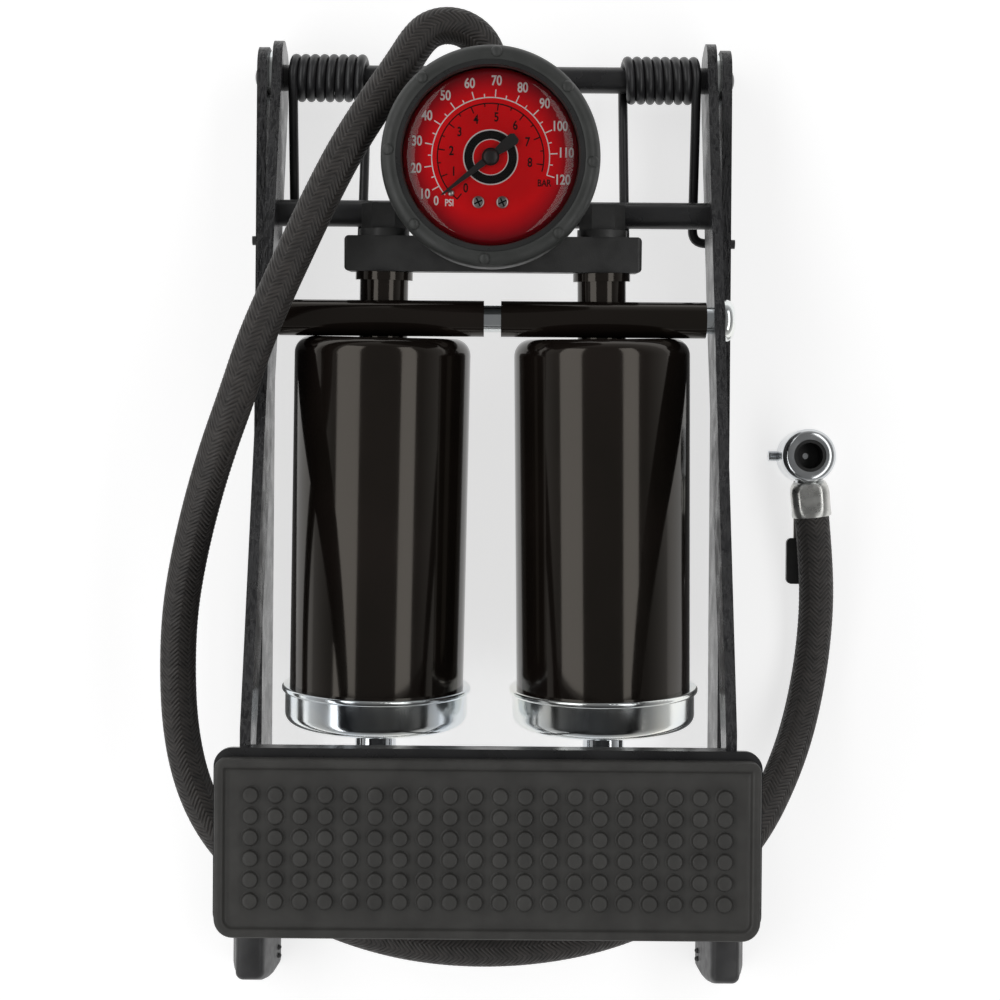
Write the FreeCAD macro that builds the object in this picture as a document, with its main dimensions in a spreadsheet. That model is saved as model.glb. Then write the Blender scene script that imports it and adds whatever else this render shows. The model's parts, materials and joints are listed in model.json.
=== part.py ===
# Twin-cylinder foot pump, folded flat, in millimetres.
# X runs across the pump, Y towards its hinge, Z up. The base bars stand on Z = 0 and the
# middle of the pump's footprint is the origin.
import FreeCAD, Part
import math
import os
from FreeCAD import Placement, Rotation, Vector

# ---------------------------------------------------------------- driving dimensions
DIMENSIONS = [
    ("hinge_back", 134.1, "hinge rod ahead of the footprint's middle"),
    ("hinge_up", 16.0, "hinge rod above the ground"),
    ("bar_thick", 3.0, "flat bar of both frames"),
    ("base_half", 72.0, "middle of the pump to a base bar's outer face"),
    ("base_tall", 27.5, "height of a base bar"),
    ("base_reach", 276.0, "hinge to the base bar's front end"),
    ("base_tail", 8.5, "base bar behind the hinge"),
    ("foot_sole", 3.0, "rubber under the front of a base bar"),
    ("lever_half", 67.7, "middle of the pump to a lever bar's outer face"),
    ("lever_tall", 20.0, "height of a lever bar"),
    ("lever_rise", 18.0, "slope of the folded lever frame, degrees"),
    ("lever_tail", 10.5, "lever bar behind the hinge"),
    ("rod_dia", 8.0, "hinge rod and cross rod"),
    ("front_dia", 7.0, "front rod that anchors the pistons"),
    ("rivet_dia", 9.0, "domed ends of the riveted rods"),
    ("cross_reach", 43.6, "hinge to the lever's cross rod"),
    ("front_reach", 252.0, "hinge to the front rod"),
    ("front_up", 24.8, "front rod above the ground"),
    ("axle_reach", 76.4, "hinge to the cylinder axle"),
    ("axle_up", 46.6, "cylinder axle above the ground"),
    ("axle_dia", 8.0, "cylinder axle"),
    ("running", 0.06, "radial clearance of a running fit"),
    ("sleeve_dia", 10.6, "cross tubes on the axle"),
    ("sleeve_long", 60.0, "length of a cross tube"),
    ("sleeve_gap", 5.0, "gap between the two cross tubes"),
    ("barrel_dia", 52.4, "outside of a cylinder"),
    ("barrel_wall", 1.0, "wall of a cylinder"),
    ("barrel_end", 1.6, "closed end of a cylinder"),
    ("barrel_shoulder", 5.0, "rounded shoulder of a cylinder"),
    ("barrel_start", 5.6, "axle to a cylinder's closed end"),
    ("barrel_stop", 119.9, "axle to a cylinder's open end"),
    ("barrel_drop", 8.6, "cylinder axes below the axle"),
    ("barrel_slope", 4.29, "slope of the folded cylinders, degrees"),
    ("barrel_splay", 0.9, "each cylinder turned outward, degrees"),
    ("neck_pitch", 64.6, "between the two outlet necks"),
    ("neck_dia", 14.4, "outlet neck"),
    ("neck_back", 13.8, "axle to the back of the necks"),
    ("cap_rim_dia", 57.0, "rolled rim of an end cap"),
    ("cap_dia", 55.0, "end cap"),
    ("cap_long", 11.7, "end cap along the cylinder"),
    ("piston_rod_dia", 12.4, "piston rod"),
    ("manifold_wide", 87.6, "manifold across the pump"),
    ("manifold_deep", 10.4, "manifold along the pump"),
    ("manifold_tall", 13.0, "manifold height"),
    ("hex_flats", 11.8, "hex heads of the hollow bolts"),
    ("gauge_reach", 45.3, "axle back to the gauge's centre"),
    ("gauge_top", 25.3, "gauge face above the axle"),
    ("gauge_dia", 53.0, "gauge case"),
    ("gauge_deep", 25.0, "gauge case height"),
    ("boot_dia", 62.0, "rubber boot round the gauge"),
    ("dial_dia", 49.6, "printed dial"),
    ("spring_wire", 2.9, "torsion spring wire"),
    ("spring_mean", 11.8, "torsion spring, mean diameter"),
    ("spring_inner", 38.2, "middle of the pump to a coil's inner end"),
    ("spring_long", 25.2, "length of a spring's coils"),
    ("hook_hole_reach", 49.5, "hinge to the spring leg's hole"),
    ("hook_hole_up", 12.0, "spring leg's hole above the ground"),
    ("pedal_wide", 147.4, "tread pad across the pump"),
    ("pedal_long", 48.4, "tread pad along the pump"),
    ("pedal_start", 199.2, "hinge to the tread pad's back edge"),
    ("pedal_under", 89.0, "underside of the pedal plate above the ground"),
    ("plate_thick", 2.0, "pedal plate"),
    ("pad_thick", 5.0, "tread pad with its rim"),
    ("hose_dia", 10.4, "braided hose"),
    ("chuck_dia", 16.8, "chuck body"),
    ("chuck_tall", 18.0, "chuck body height"),
    ("valve_bore", 8.0, "bore that takes a tyre valve"),
]

# Middle line of the hose, from the barb under the gauge to the ferrule of the chuck.
HOSE_ROUTE = [
    (-1.0, 108.12, 41.55), (-1.0, 117.9, 42.3), (-1.3, 128.0, 43.2), (-1.5, 134.6, 44.2),
    (-4.5, 139.9, 45.7), (-9.8, 143.0, 47.4), (-16.0, 143.0, 49.3), (-21.3, 139.8, 51.3),
    (-26.9, 130.0, 54.2), (-34.0, 119.0, 57.0), (-41.9, 105.8, 59.4), (-48.9, 91.8, 60.8),
    (-55.2, 78.0, 61.6), (-61.8, 63.1, 63.0), (-67.5, 48.9, 65.2), (-72.4, 33.8, 65.0),
    (-78.2, 19.7, 59.5), (-84.0, 4.7, 50.5), (-89.2, -12.3, 42.5), (-92.8, -29.4, 37.0),
    (-93.8, -47.3, 34.6), (-92.8, -64.5, 34.9), (-89.4, -79.4, 36.6), (-83.4, -92.2, 38.2),
    (-74.4, -103.2, 39.2), (-62.2, -112.9, 39.4), (-46.4, -121.4, 38.7), (-28.1, -127.3, 37.8),
    (-9.5, -129.9, 37.3), (9.8, -129.6, 37.4), (29.0, -126.3, 38.0), (45.6, -120.4, 38.8),
    (60.2, -112.4, 39.4), (72.4, -102.4, 38.6), (81.8, -91.6, 32.0), (89.2, -80.6, 22.0),
    (94.9, -69.6, 13.4), (99.0, -57.0, 7.4), (101.5, -42.5, 6.0), (102.3, -26.6, 7.8),
    (101.3, -11.4, 9.8), (99.9, 1.0, 10.8),
]

doc = FreeCAD.newDocument("FootPump")
sheet = doc.addObject("Spreadsheet::Sheet", "Dims")
VALUE = {}
for row, (alias, number, note) in enumerate(DIMENSIONS, start=1):
    sheet.set("A%d" % row, note)
    sheet.set("B%d" % row, str(number))
    sheet.setAlias("B%d" % row, alias)
    VALUE[alias] = number
doc.recompute()

PIECES = []
DIRECTION = {
    "X": Rotation(Vector(0, 1, 0), 90),
    "Y": Rotation(Vector(1, 0, 0), -90),
    "Z": Rotation(),
}


# ---------------------------------------------------------------- small helpers
def v(alias):
    return VALUE[alias]


def bind(item, **sizes):
    """Tie sizes of an object to formulas over the spreadsheet."""
    for name, formula in sizes.items():
        item.setExpression(name, formula)
    return item


def cylinder(name, radius, length, start=(0, 0, 0), along="Z"):
    """A round bar that starts at a point and runs along an axis."""
    item = bind(doc.addObject("Part::Cylinder", name), Radius=radius, Height=length)
    item.Placement = Placement(Vector(*start), DIRECTION[along])
    return item


def block(name, size, corner):
    """A box with its lowest corner at a point."""
    item = bind(doc.addObject("Part::Box", name), Length=size[0], Width=size[1], Height=size[2])
    item.Placement = Placement(Vector(*corner), Rotation())
    return item


def join(name, members):
    item = doc.addObject("Part::MultiFuse", name)
    item.Shapes = members
    item.Refine = True
    return item


def cut(name, base, *tools):
    item = doc.addObject("Part::Cut", name)
    item.Base = base
    item.Tool = tools[0] if len(tools) == 1 else join(name + "_tools", list(tools))
    return item


def group(name, members):
    """Separate solids that share one node."""
    item = doc.addObject("Part::Compound", name)
    item.Links = members
    return item


def rounded(name, base, radius, wanted):
    """Round the edges of a solid that a test on each edge picks."""
    doc.recompute()
    item = doc.addObject("Part::Fillet", name)
    item.Base = base
    edges = base.Shape.Edges
    item.Edges = [(i + 1, radius, radius) for i, edge in enumerate(edges) if wanted(edge)]
    return item


def runs_along(edge, direction):
    """True for a straight edge parallel to a direction."""
    if edge.Curve.TypeId != "Part::GeomLine":
        return False
    return abs(abs(edge.tangentAt(edge.FirstParameter).dot(direction)) - 1.0) < 1e-6


def is_ring(edge, radius, level=None):
    """True for a circle of a radius, at a height of its own frame if one is given."""
    if edge.Curve.TypeId != "Part::GeomCircle":
        return False
    if abs(edge.Curve.Radius - radius) > 1e-3:
        return False
    return level is None or abs(edge.Curve.Center.z - level) < 1e-3


def corner_arc(before, corner, after, radius):
    """Tangent points and middle of the arc that rounds one corner of an outline."""
    back = (before - corner).normalize()
    onward = (after - corner).normalize()
    half = back.getAngle(onward) / 2
    first = corner + back * (radius / math.tan(half))
    last = corner + onward * (radius / math.tan(half))
    inward = (back + onward).normalize()
    middle = corner + inward * (radius / math.sin(half) - radius)
    return first, middle, last


def outline(sketch, points):
    """Closed outline through (x, y, corner radius) points."""
    places = [Vector(x, y, 0) for x, y, radius in points]
    pieces = []
    for i, (x, y, radius) in enumerate(points):
        if radius > 0:
            pieces.append(corner_arc(places[i - 1], places[i], places[(i + 1) % len(points)], radius))
        else:
            pieces.append((places[i], None, places[i]))
    for i, (first, middle, last) in enumerate(pieces):
        if middle is not None:
            sketch.addGeometry(Part.Arc(first, middle, last), False)
        following = pieces[(i + 1) % len(pieces)][0]
        if last.distanceToPoint(following) > 1e-6:
            sketch.addGeometry(Part.LineSegment(last, following), False)


def plate(name, points, holes, thickness, plane="YZ_Plane"):
    """A flat piece: an outline with round holes, padded by a bound thickness."""
    body = doc.addObject("PartDesign::Body", name)
    sketch = body.newObject("Sketcher::SketchObject", name + "_outline")
    origin_plane = next(o for o in body.Origin.OriginFeatures if o.Role == plane)
    sketch.AttachmentSupport = [(origin_plane, "")]
    sketch.MapMode = "FlatFace"
    outline(sketch, points)
    for x, y, radius in holes:
        sketch.addGeometry(Part.Circle(Vector(x, y, 0), Vector(0, 0, 1), radius), False)
    pad = body.newObject("PartDesign::Pad", name + "_pad")
    pad.Profile = sketch
    bind(pad, Length=thickness)
    body.Tip = pad
    return body


def keep(item, label, place=None):
    """Make an object one sub-part of the pump: its label names its file."""
    item.Label = label
    if place is not None:
        item.Placement = place.multiply(item.Placement)
    PIECES.append(item)
    return item


def side_name(side):
    return "left" if side < 0 else "right"


# ---------------------------------------------------------------- frames of reference
HINGE = Vector(0, v("hinge_back"), v("hinge_up"))
AXLE = Vector(0, v("hinge_back") - v("axle_reach"), v("axle_up"))
FRONT = Vector(0, v("hinge_back") - v("front_reach"), v("front_up"))
LEVER_FRAME = Placement(HINGE, Rotation(Vector(1, 0, 0), -v("lever_rise")))
BARREL_FRAME = Placement(AXLE, Rotation(Vector(1, 0, 0), v("barrel_slope")))


def barrel_frame(side):
    """Frame on one cylinder's axis: Z runs from the neck's back towards the front."""
    neck = Vector(side * v("neck_pitch") / 2, v("neck_back"), -v("barrel_drop"))
    turn = Rotation(Vector(0, 0, 1), side * v("barrel_splay"))
    down_barrel = Rotation(Vector(1, 0, 0), 90)
    return BARREL_FRAME.multiply(Placement(neck, turn.multiply(down_barrel)))


def lever_point(reach, up):
    """A point of the folded side view, as Y and Z of the lever's own frame."""
    rise = math.radians(v("lever_rise"))
    over = up - v("hinge_up")
    along = reach * math.cos(rise) + over * math.sin(rise)
    above = over * math.cos(rise) - reach * math.sin(rise)
    return -along, above


# ---------------------------------------------------------------- base frame
def base_bars():
    """Two flat bars on edge, with holes for the rods and a spring leg."""
    lift = v("foot_sole") / v("base_reach")
    hinge_y = v("hinge_back")
    front_y = hinge_y - v("base_reach")
    tail_y = hinge_y + v("base_tail")
    tall = v("base_tall")
    sole = v("foot_sole")
    shape = [
        (tail_y, 0.0, 5.0),
        (tail_y, tall, 8.0),
        (front_y, sole + tall, 5.0),
        (front_y, sole, 2.0),
        (hinge_y - 8.0, 8.0 * lift, 0.0),
    ]
    holes = [
        (hinge_y, v("hinge_up"), v("rod_dia") / 2),
        (hinge_y - v("hook_hole_reach"), v("hook_hole_up"), v("spring_wire") / 2 + 0.75),
        (FRONT.y, FRONT.z, v("front_dia") / 2),
    ]
    for side in (-1, 1):
        name = "base_bar_" + side_name(side)
        bar = plate(name, shape, holes, "Dims.bar_thick")
        inner = v("base_half") - v("bar_thick")
        corner = inner if side > 0 else -v("base_half")
        keep(bar, name, Placement(Vector(corner, 0, 0), Rotation()))


def riveted_rod(label, centre, half, diameter):
    """A rod through both bars, its ends riveted over into low domes."""
    reach = 2 * half
    shank = cylinder(label + "_shank", "Dims.%s / 2" % diameter, "%f" % reach, (-half, 0, 0), "X")
    domes = []
    head = v("rivet_dia") / 2
    rise = 1.9
    for side in (-1, 1):
        ball = doc.addObject("Part::Sphere", label + "_ball_" + side_name(side))
        radius = (head * head + rise * rise) / (2 * rise)
        ball.Radius = radius
        ball.Placement = Placement(Vector(side * (half + rise - radius), 0, 0), Rotation())
        start = half if side > 0 else -half - rise
        slab = cylinder(ball.Name + "_slab", "Dims.rivet_dia / 2", "%f" % rise, (start, 0, 0), "X")
        dome = doc.addObject("Part::Common", label + "_dome_" + side_name(side))
        dome.Base = ball
        dome.Tool = slab
        domes.append(dome)
    keep(join(label, [shank] + domes), label, Placement(centre, Rotation()))


def hinge_washers():
    """Thin washers that space the lever bars from the base bars."""
    rings = []
    thick = v("base_half") - v("bar_thick") - v("lever_half") - 0.1
    for side in (-1, 1):
        middle = side * (v("lever_half") + 0.05 + thick / 2)
        start = (middle - thick / 2, 0, 0)
        name = "hinge_washer_" + side_name(side)
        disc = cylinder(name + "_disc", "Dims.rod_dia", "%f" % thick, start, "X")
        hole = cylinder(name + "_hole", "Dims.rod_dia / 2 + Dims.running", "%f" % thick, start, "X")
        rings.append(cut(name, disc, hole))
    keep(group("hinge_washers", rings), "hinge_washers", Placement(HINGE, Rotation()))


def foot_caps():
    """Rubber boots over the front ends of the base bars, flared outward at the ground."""
    front_y = v("hinge_back") - v("base_reach")
    back_y = front_y + 18.4
    for side in (-1, 1):
        name = "foot_cap_" + side_name(side)
        wedge = doc.addObject("Part::Wedge", name + "_wedge")
        low = sorted((side * 10.3, side * -4.8))
        high = sorted((side * 4.1, side * -3.7))
        wedge.Xmin, wedge.Xmax = low
        wedge.X2min, wedge.X2max = high
        wedge.Zmin, wedge.Zmax = 0.0, 21.6
        wedge.Z2min, wedge.Z2max = 0.0, 21.0
        wedge.Ymin = 0.0
        bind(wedge, Ymax="Dims.foot_sole + Dims.base_tall + 1.6")
        middle = side * (v("base_half") - v("bar_thick") / 2)
        wedge.Placement = Placement(Vector(middle, back_y, 0), Rotation(Vector(1, 0, 0), 90))
        soft = rounded(name + "_soft", wedge, 2.4, lambda e: e.BoundBox.ZLength > 10
                       and e.CenterOfMass.y < front_y + 4)
        slot = block(name + "_slot", ("Dims.bar_thick", "26", "Dims.base_tall + 0.25"),
                     (middle - v("bar_thick") / 2, front_y, v("foot_sole") - 0.25))
        keep(cut(name, soft, slot), name)


def springs():
    """Torsion springs on the hinge rod, one leg in the base bar, one under the cross rod."""
    mean = v("spring_mean") / 2
    wire = v("spring_wire") / 2
    for side in (-1, 1):
        name = "spring_" + side_name(side)
        low = v("spring_inner") if side > 0 else -v("spring_inner") - v("spring_long")
        core = cylinder(name + "_core", "(Dims.spring_mean + Dims.spring_wire) / 2 + 0.12",
                        "Dims.spring_long", (low, 0, 0), "X")
        hole = cylinder(name + "_hole", "(Dims.spring_mean - Dims.spring_wire) / 2 - 0.1",
                        "Dims.spring_long", (low, 0, 0), "X")
        parts = [cut(name + "_coils", core, hole)]
        inner = side * (v("spring_inner") + wire + 0.2)
        outer = side * (v("spring_inner") + v("spring_long") - wire - 0.2)
        parts.append(inner_leg(name, inner, mean, wire))
        parts.extend(outer_leg(name, outer, side, mean))
        keep(join(name, parts), name, Placement(HINGE, Rotation()))


def wire_between(name, first, last):
    """A straight length of spring wire between two points."""
    path = Vector(*last) - Vector(*first)
    item = bind(doc.addObject("Part::Cylinder", name), Radius="Dims.spring_wire / 2")
    item.Height = path.Length
    item.Placement = Placement(Vector(*first), Rotation(Vector(0, 0, 1), path))
    return item


def inner_leg(name, across, mean, wire):
    """The leg that presses up on the lever's cross rod."""
    rise = math.radians(v("lever_rise"))
    drop = v("rod_dia") / 2 + wire + 0.35
    reach = v("cross_reach") / math.cos(rise) + 8.0
    start = (across, -math.sin(rise) * mean, -math.cos(rise) * mean)
    end = (across, -reach * math.cos(rise) - drop * math.sin(rise),
           reach * math.sin(rise) - drop * math.cos(rise))
    return wire_between(name + "_inner_leg", start, end)


def outer_leg(name, across, side, mean):
    """The leg that hooks out through the base bar."""
    hole = (across, -v("hook_hole_reach"), v("hook_hole_up") - v("hinge_up"))
    tip = (side * (v("base_half") + 3.0), hole[1] - 0.3, hole[2])
    start = (across, 0, mean)
    elbow = doc.addObject("Part::Sphere", name + "_elbow")
    bind(elbow, Radius="Dims.spring_wire / 2 + 0.08")
    elbow.Placement = Placement(Vector(*hole), Rotation())
    straight = wire_between(name + "_outer_leg", start, hole)
    hook = wire_between(name + "_hook", hole, tip)
    return [straight, elbow, hook]


# ---------------------------------------------------------------- lever frame
def lever_bars():
    """Two flat bars that rise from the hinge and carry the axle and the pedal."""
    half_tall = v("lever_tall") / 2
    tail = v("lever_tail")
    under = v("pedal_under")
    front = v("pedal_start") + v("pedal_long") - 2.5
    knee = (under - v("hinge_up") - half_tall * math.cos(math.radians(v("lever_rise"))))
    knee = -knee / math.sin(math.radians(v("lever_rise")))
    top_front = lever_point(front, under)
    low_front = lever_point(front, under - 9.5)
    low_back = lever_point(v("pedal_start") - 1.0, under - 11.0)
    shape = [
        (tail, -half_tall, 8.0),
        (tail, half_tall, 8.0),
        (knee, half_tall, 4.0),
        (top_front[0], top_front[1], 2.0),
        (low_front[0], low_front[1], 2.0),
        (low_back[0], low_back[1], 6.0),
        (-70.0, -half_tall, 12.0),
    ]
    cross = (-v("cross_reach") / math.cos(math.radians(v("lever_rise"))), 0.0)
    axle = lever_point(v("axle_reach"), v("axle_up"))
    catch = lever_point(*CATCH)
    holes = [
        (0.0, 0.0, v("rod_dia") / 2 + v("running")),
        (cross[0], cross[1], v("rod_dia") / 2),
        (axle[0], axle[1], v("axle_dia") / 2),
        (catch[0], catch[1], 2.5),
    ]
    for side in (-1, 1):
        name = "lever_bar_" + side_name(side)
        bar = plate(name, shape, holes, "Dims.bar_thick")
        inner = v("lever_half") - v("bar_thick")
        corner = inner if side > 0 else -v("lever_half")
        keep(bar, name, LEVER_FRAME.multiply(Placement(Vector(corner, 0, 0), Rotation())))


CATCH = (v("pedal_start") + 36.0, v("pedal_under") - 5.2)


def lever_rods():
    """The cross rod over the springs and the thin catch rod under the pedal."""
    half = v("lever_half")
    cross = v("cross_reach") / math.cos(math.radians(v("lever_rise")))
    rod = cylinder("lever_cross_rod", "Dims.rod_dia / 2", "2 * Dims.lever_half", (-half, 0, 0), "X")
    keep(rod, "lever_cross_rod", LEVER_FRAME.multiply(Placement(Vector(0, -cross, 0), Rotation())))
    catch_y = v("hinge_back") - CATCH[0]
    catch = cylinder("catch_rod", "2.5", "2 * Dims.lever_half", (-half, catch_y, CATCH[1]), "X")
    keep(catch, "catch_rod")


def pedal():
    """Pressed pedal plate with turned-down edges, its tread pad and its rivets."""
    back_y = v("hinge_back") - v("pedal_start")
    front_y = back_y - v("pedal_long")
    half = v("pedal_wide") / 2 + 0.8
    under = v("pedal_under")
    top = under + v("plate_thick")
    sheet_wide = "Dims.pedal_wide + 1.6"
    flat = block("pedal_flat", (sheet_wide, "Dims.pedal_long + 1.4", "Dims.plate_thick"),
                 (-half, front_y + 1.0, under))
    soft = rounded("pedal_flat_soft", flat, 5.0, lambda e: runs_along(e, Vector(0, 0, 1)))
    back_lip = block("pedal_back_lip", (sheet_wide + " - 14", "Dims.plate_thick", "5"),
                     (-half + 7, back_y + 0.4, under - 5))
    front_lip = block("pedal_front_lip", (sheet_wide + " - 14", "Dims.plate_thick", "5"),
                      (-half + 7, front_y + 1.0, under - 5))
    lugs = []
    inner = v("lever_half") - v("bar_thick")
    for side in (-1, 1):
        corner = inner - 2.0 if side > 0 else -inner
        lugs.append(block("pedal_lug_" + side_name(side), ("2", "30", "9"),
                          (corner, front_y + 10, under - 9)))
    slots = []
    for side in (-1, 1):
        start = inner - 0.15 if side > 0 else -v("lever_half") - 0.15
        for lip_y, tag in ((back_y - 0.2, "back"), (front_y + 0.4, "front")):
            slots.append(block("pedal_slot_%s_%s" % (tag, side_name(side)),
                               ("Dims.bar_thick + 0.3", "4", "6"),
                               (start, lip_y, under - 6)))
    drill = cylinder("pedal_catch_drill", "3", "2 * Dims.lever_half",
                     (-v("lever_half"), v("hinge_back") - CATCH[0], CATCH[1]), "X")
    whole = join("pedal_pressing", [soft, back_lip, front_lip] + lugs)
    keep(cut("pedal_plate", whole, drill, *slots), "pedal_plate")
    pad = block("tread_block", ("Dims.pedal_wide", "Dims.pedal_long", "Dims.pad_thick"),
                (-v("pedal_wide") / 2, front_y, top))
    pad_soft = rounded("tread_soft", pad, 2.6, lambda e: runs_along(e, Vector(0, 0, 1)))
    rim = 2.8
    well = block("tread_well", ("Dims.pedal_wide - 5.6", "Dims.pedal_long - 5.6", "2"),
                 (-v("pedal_wide") / 2 + rim, front_y + rim, top + v("pad_thick") - 1.6))
    keep(cut("tread_pad", pad_soft, well), "tread_pad")
    rivets = []
    for side in (-1, 1):
        for reach in (20.0, 36.0):
            start = (inner - 3.2, front_y + reach, under - 5.0) if side > 0 else (
                -v("lever_half"), front_y + reach, under - 5.0)
            rivets.append(cylinder("pedal_rivet_%s_%d" % (side_name(side), reach), "1.6",
                                   "Dims.bar_thick + 3.2", start, "X"))
    drilled = group("pedal_rivets", rivets)
    keep(drilled, "pedal_rivets")


def axle():
    """The pin that carries the cylinders, its dome head on the right, and its push-on cap."""
    half = v("lever_half")
    shank = cylinder("axle_shank", "Dims.axle_dia / 2", "2 * Dims.lever_half + 1.5",
                     (-half - 1.5, 0, 0), "X")
    head = cylinder("axle_head", "6.2", "3.1", (half, 0, 0), "X")
    bolt = join("axle_pin_raw", [shank, head])
    doc.recompute()
    dome = rounded("axle_pin", bolt, 2.6, lambda e: e.Curve.TypeId == "Part::GeomCircle"
                   and abs(e.Curve.Radius - 6.2) < 1e-3 and e.CenterOfMass.x > half + 1)
    keep(dome, "axle_pin", Placement(AXLE, Rotation()))
    disc = cylinder("axle_cap_disc", "6.2", "2.4", (-half - 2.45, 0, 0), "X")
    soft = rounded("axle_cap_soft", disc, 1.2, lambda e: is_ring(e, 6.2)
                   and e.CenterOfMass.x < -half - 1)
    bore = cylinder("axle_cap_bore", "Dims.axle_dia / 2", "4", (-half - 1.5, 0, 0), "X")
    keep(cut("axle_cap", soft, bore), "axle_cap", Placement(AXLE, Rotation()))


# ---------------------------------------------------------------- storage hook
def storage_hook():
    """A strip that hangs from the catch rod and swings forward under the front rod."""
    reach = math.hypot(v("front_reach") - CATCH[0], CATCH[1] - v("front_up"))
    below = reach + v("front_dia") / 2 + 0.6
    tall = below + 4.0
    ring = cylinder("hook_ring", "4.6", "6", (-3, 0, 0), "X")
    shoulder = block("hook_shoulder", ("6", "8.4", "4.6"), (-3, 0, -4.6))
    arm = block("hook_arm", ("6", "4", "%f" % tall), (-3, 4.4, -tall))
    nose = block("hook_nose", ("6", "13.4", "4"), (-3, -5, -tall))
    bore = cylinder("hook_bore", "2.5 + Dims.running", "8", (-4, 0, 0), "X")
    whole = cut("hook_bent", join("hook_raw", [ring, shoulder, arm, nose]), bore)
    keep(whole, "storage_hook", Placement(Vector(0, v("hinge_back") - CATCH[0], CATCH[1]), Rotation()))


# ---------------------------------------------------------------- cylinders
def barrels():
    """Two drawn steel cylinders, each closed and rounded at its neck end."""
    start = v("neck_back") + v("barrel_start")
    long = "Dims.barrel_stop - Dims.barrel_start"
    for side in (-1, 1):
        name = "cylinder_" + side_name(side)
        outer = cylinder(name + "_outer", "Dims.barrel_dia / 2", long, (0, 0, start))
        soft = rounded(name + "_soft", outer, v("barrel_shoulder"),
                       lambda e: is_ring(e, v("barrel_dia") / 2, start))
        inner = cylinder(name + "_inner", "Dims.barrel_dia / 2 - Dims.barrel_wall", long,
                         (0, 0, start + v("barrel_end")))
        inner_soft = rounded(name + "_inner_soft", inner, v("barrel_shoulder") - 1.0,
                             lambda e: is_ring(e, v("barrel_dia") / 2 - v("barrel_wall"),
                                               start + v("barrel_end")))
        port = cylinder(name + "_port", "3", "6", (0, 0, start - 1))
        keep(cut(name, soft, inner_soft, port), name, barrel_frame(side))


def cross_tubes():
    """Tubes welded over the necks; they turn on the axle."""
    for side in (-1, 1):
        name = "cross_tube_" + side_name(side)
        near = v("sleeve_gap") / 2
        start = (near if side > 0 else -near - v("sleeve_long"), 0, 0)
        outer = cylinder(name + "_outer", "Dims.sleeve_dia / 2", "Dims.sleeve_long", start, "X")
        bore = cylinder(name + "_bore", "Dims.axle_dia / 2 + Dims.running", "Dims.sleeve_long",
                        start, "X")
        keep(cut(name, outer, bore), name, BARREL_FRAME)


def end_caps():
    """Plated caps pressed on the open ends, each with a rim and a guide bush."""
    stop = v("neck_back") + v("barrel_stop")
    start = stop - v("cap_long") + 2.0
    inside = v("barrel_dia") / 2 + 0.02
    for side in (-1, 1):
        name = "end_cap_" + side_name(side)
        body = cylinder(name + "_body", "Dims.cap_dia / 2", "Dims.cap_long", (0, 0, start))
        soft = rounded(name + "_soft", body, 3.4,
                       lambda e: is_ring(e, v("cap_dia") / 2, start + v("cap_long")))
        rim = cylinder(name + "_rim", "Dims.cap_rim_dia / 2", "1.8", (0, 0, start))
        rim_soft = rounded(name + "_rim_soft", rim, 0.7, lambda e: is_ring(e, v("cap_rim_dia") / 2))
        room = cylinder(name + "_room", "%f" % inside, "Dims.cap_long - 2", (0, 0, start))
        hole = cylinder(name + "_hole", "Dims.piston_rod_dia / 2 + 1.8", "8", (0, 0, stop - 2))
        whole = join(name + "_raw", [soft, rim_soft])
        keep(cut(name, whole, room, hole), name, barrel_frame(side))
        bush = "rod_guide_" + side_name(side)
        ring = cylinder(bush + "_ring", "Dims.piston_rod_dia / 2 + 1.8", "2", (0, 0, stop))
        flange = cylinder(bush + "_flange", "12", "5", (0, 0, stop - 5))
        bore = cylinder(bush + "_bore", "Dims.piston_rod_dia / 2 + Dims.running", "9",
                        (0, 0, stop - 6))
        keep(cut(bush, join(bush + "_raw", [ring, flange]), bore), bush, barrel_frame(side))


def outlet_necks():
    """Short pipes from the cylinders to the manifold, notched round the cross tubes."""
    end = v("neck_back") + v("barrel_start")
    notch = v("sleeve_dia") / 2
    for side in (-1, 1):
        name = "outlet_neck_" + side_name(side)
        pipe = cylinder(name + "_pipe", "Dims.neck_dia / 2", "Dims.neck_back + Dims.barrel_start - 0.15",
                        (0, 0, 0.15))
        collar = cylinder(name + "_collar", "Dims.neck_dia / 2 + 1.3", "2.4", (0, 0, 0.15))
        thread = cylinder(name + "_thread", "4.4", "9")
        bore = cylinder(name + "_bore", "3", "%f" % (end + 1))
        rest = cylinder(name + "_rest", "%f" % notch, "80", (-40, 0, 0), "X")
        turn = barrel_frame(side).inverse().multiply(BARREL_FRAME)
        rest.Placement = turn.multiply(rest.Placement)
        whole = join(name + "_raw", [pipe, collar])
        keep(cut(name, whole, thread, bore, rest), name, barrel_frame(side))
    valves = []
    for side in (-1, 1):
        stem = cylinder("valve_stem_" + side_name(side), "1.2", "5", (0, 0, 11.0))
        skirt = cylinder("valve_skirt_" + side_name(side), "2.8", "0.8", (0, 0, 10.2))
        valve = join("outlet_valve_" + side_name(side), [stem, skirt])
        valve.Placement = barrel_frame(side)
        valves.append(valve)
    keep(group("outlet_valves", valves), "outlet_valves")


# ---------------------------------------------------------------- manifold and gauge
MANIFOLD_BACK = v("neck_back") + v("manifold_deep")
PORT_UP = -v("barrel_drop") - 0.2
BOSS_BACK = 47.0
GAUGE_LOW = v("gauge_top") - 2.0 - v("gauge_deep")


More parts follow.
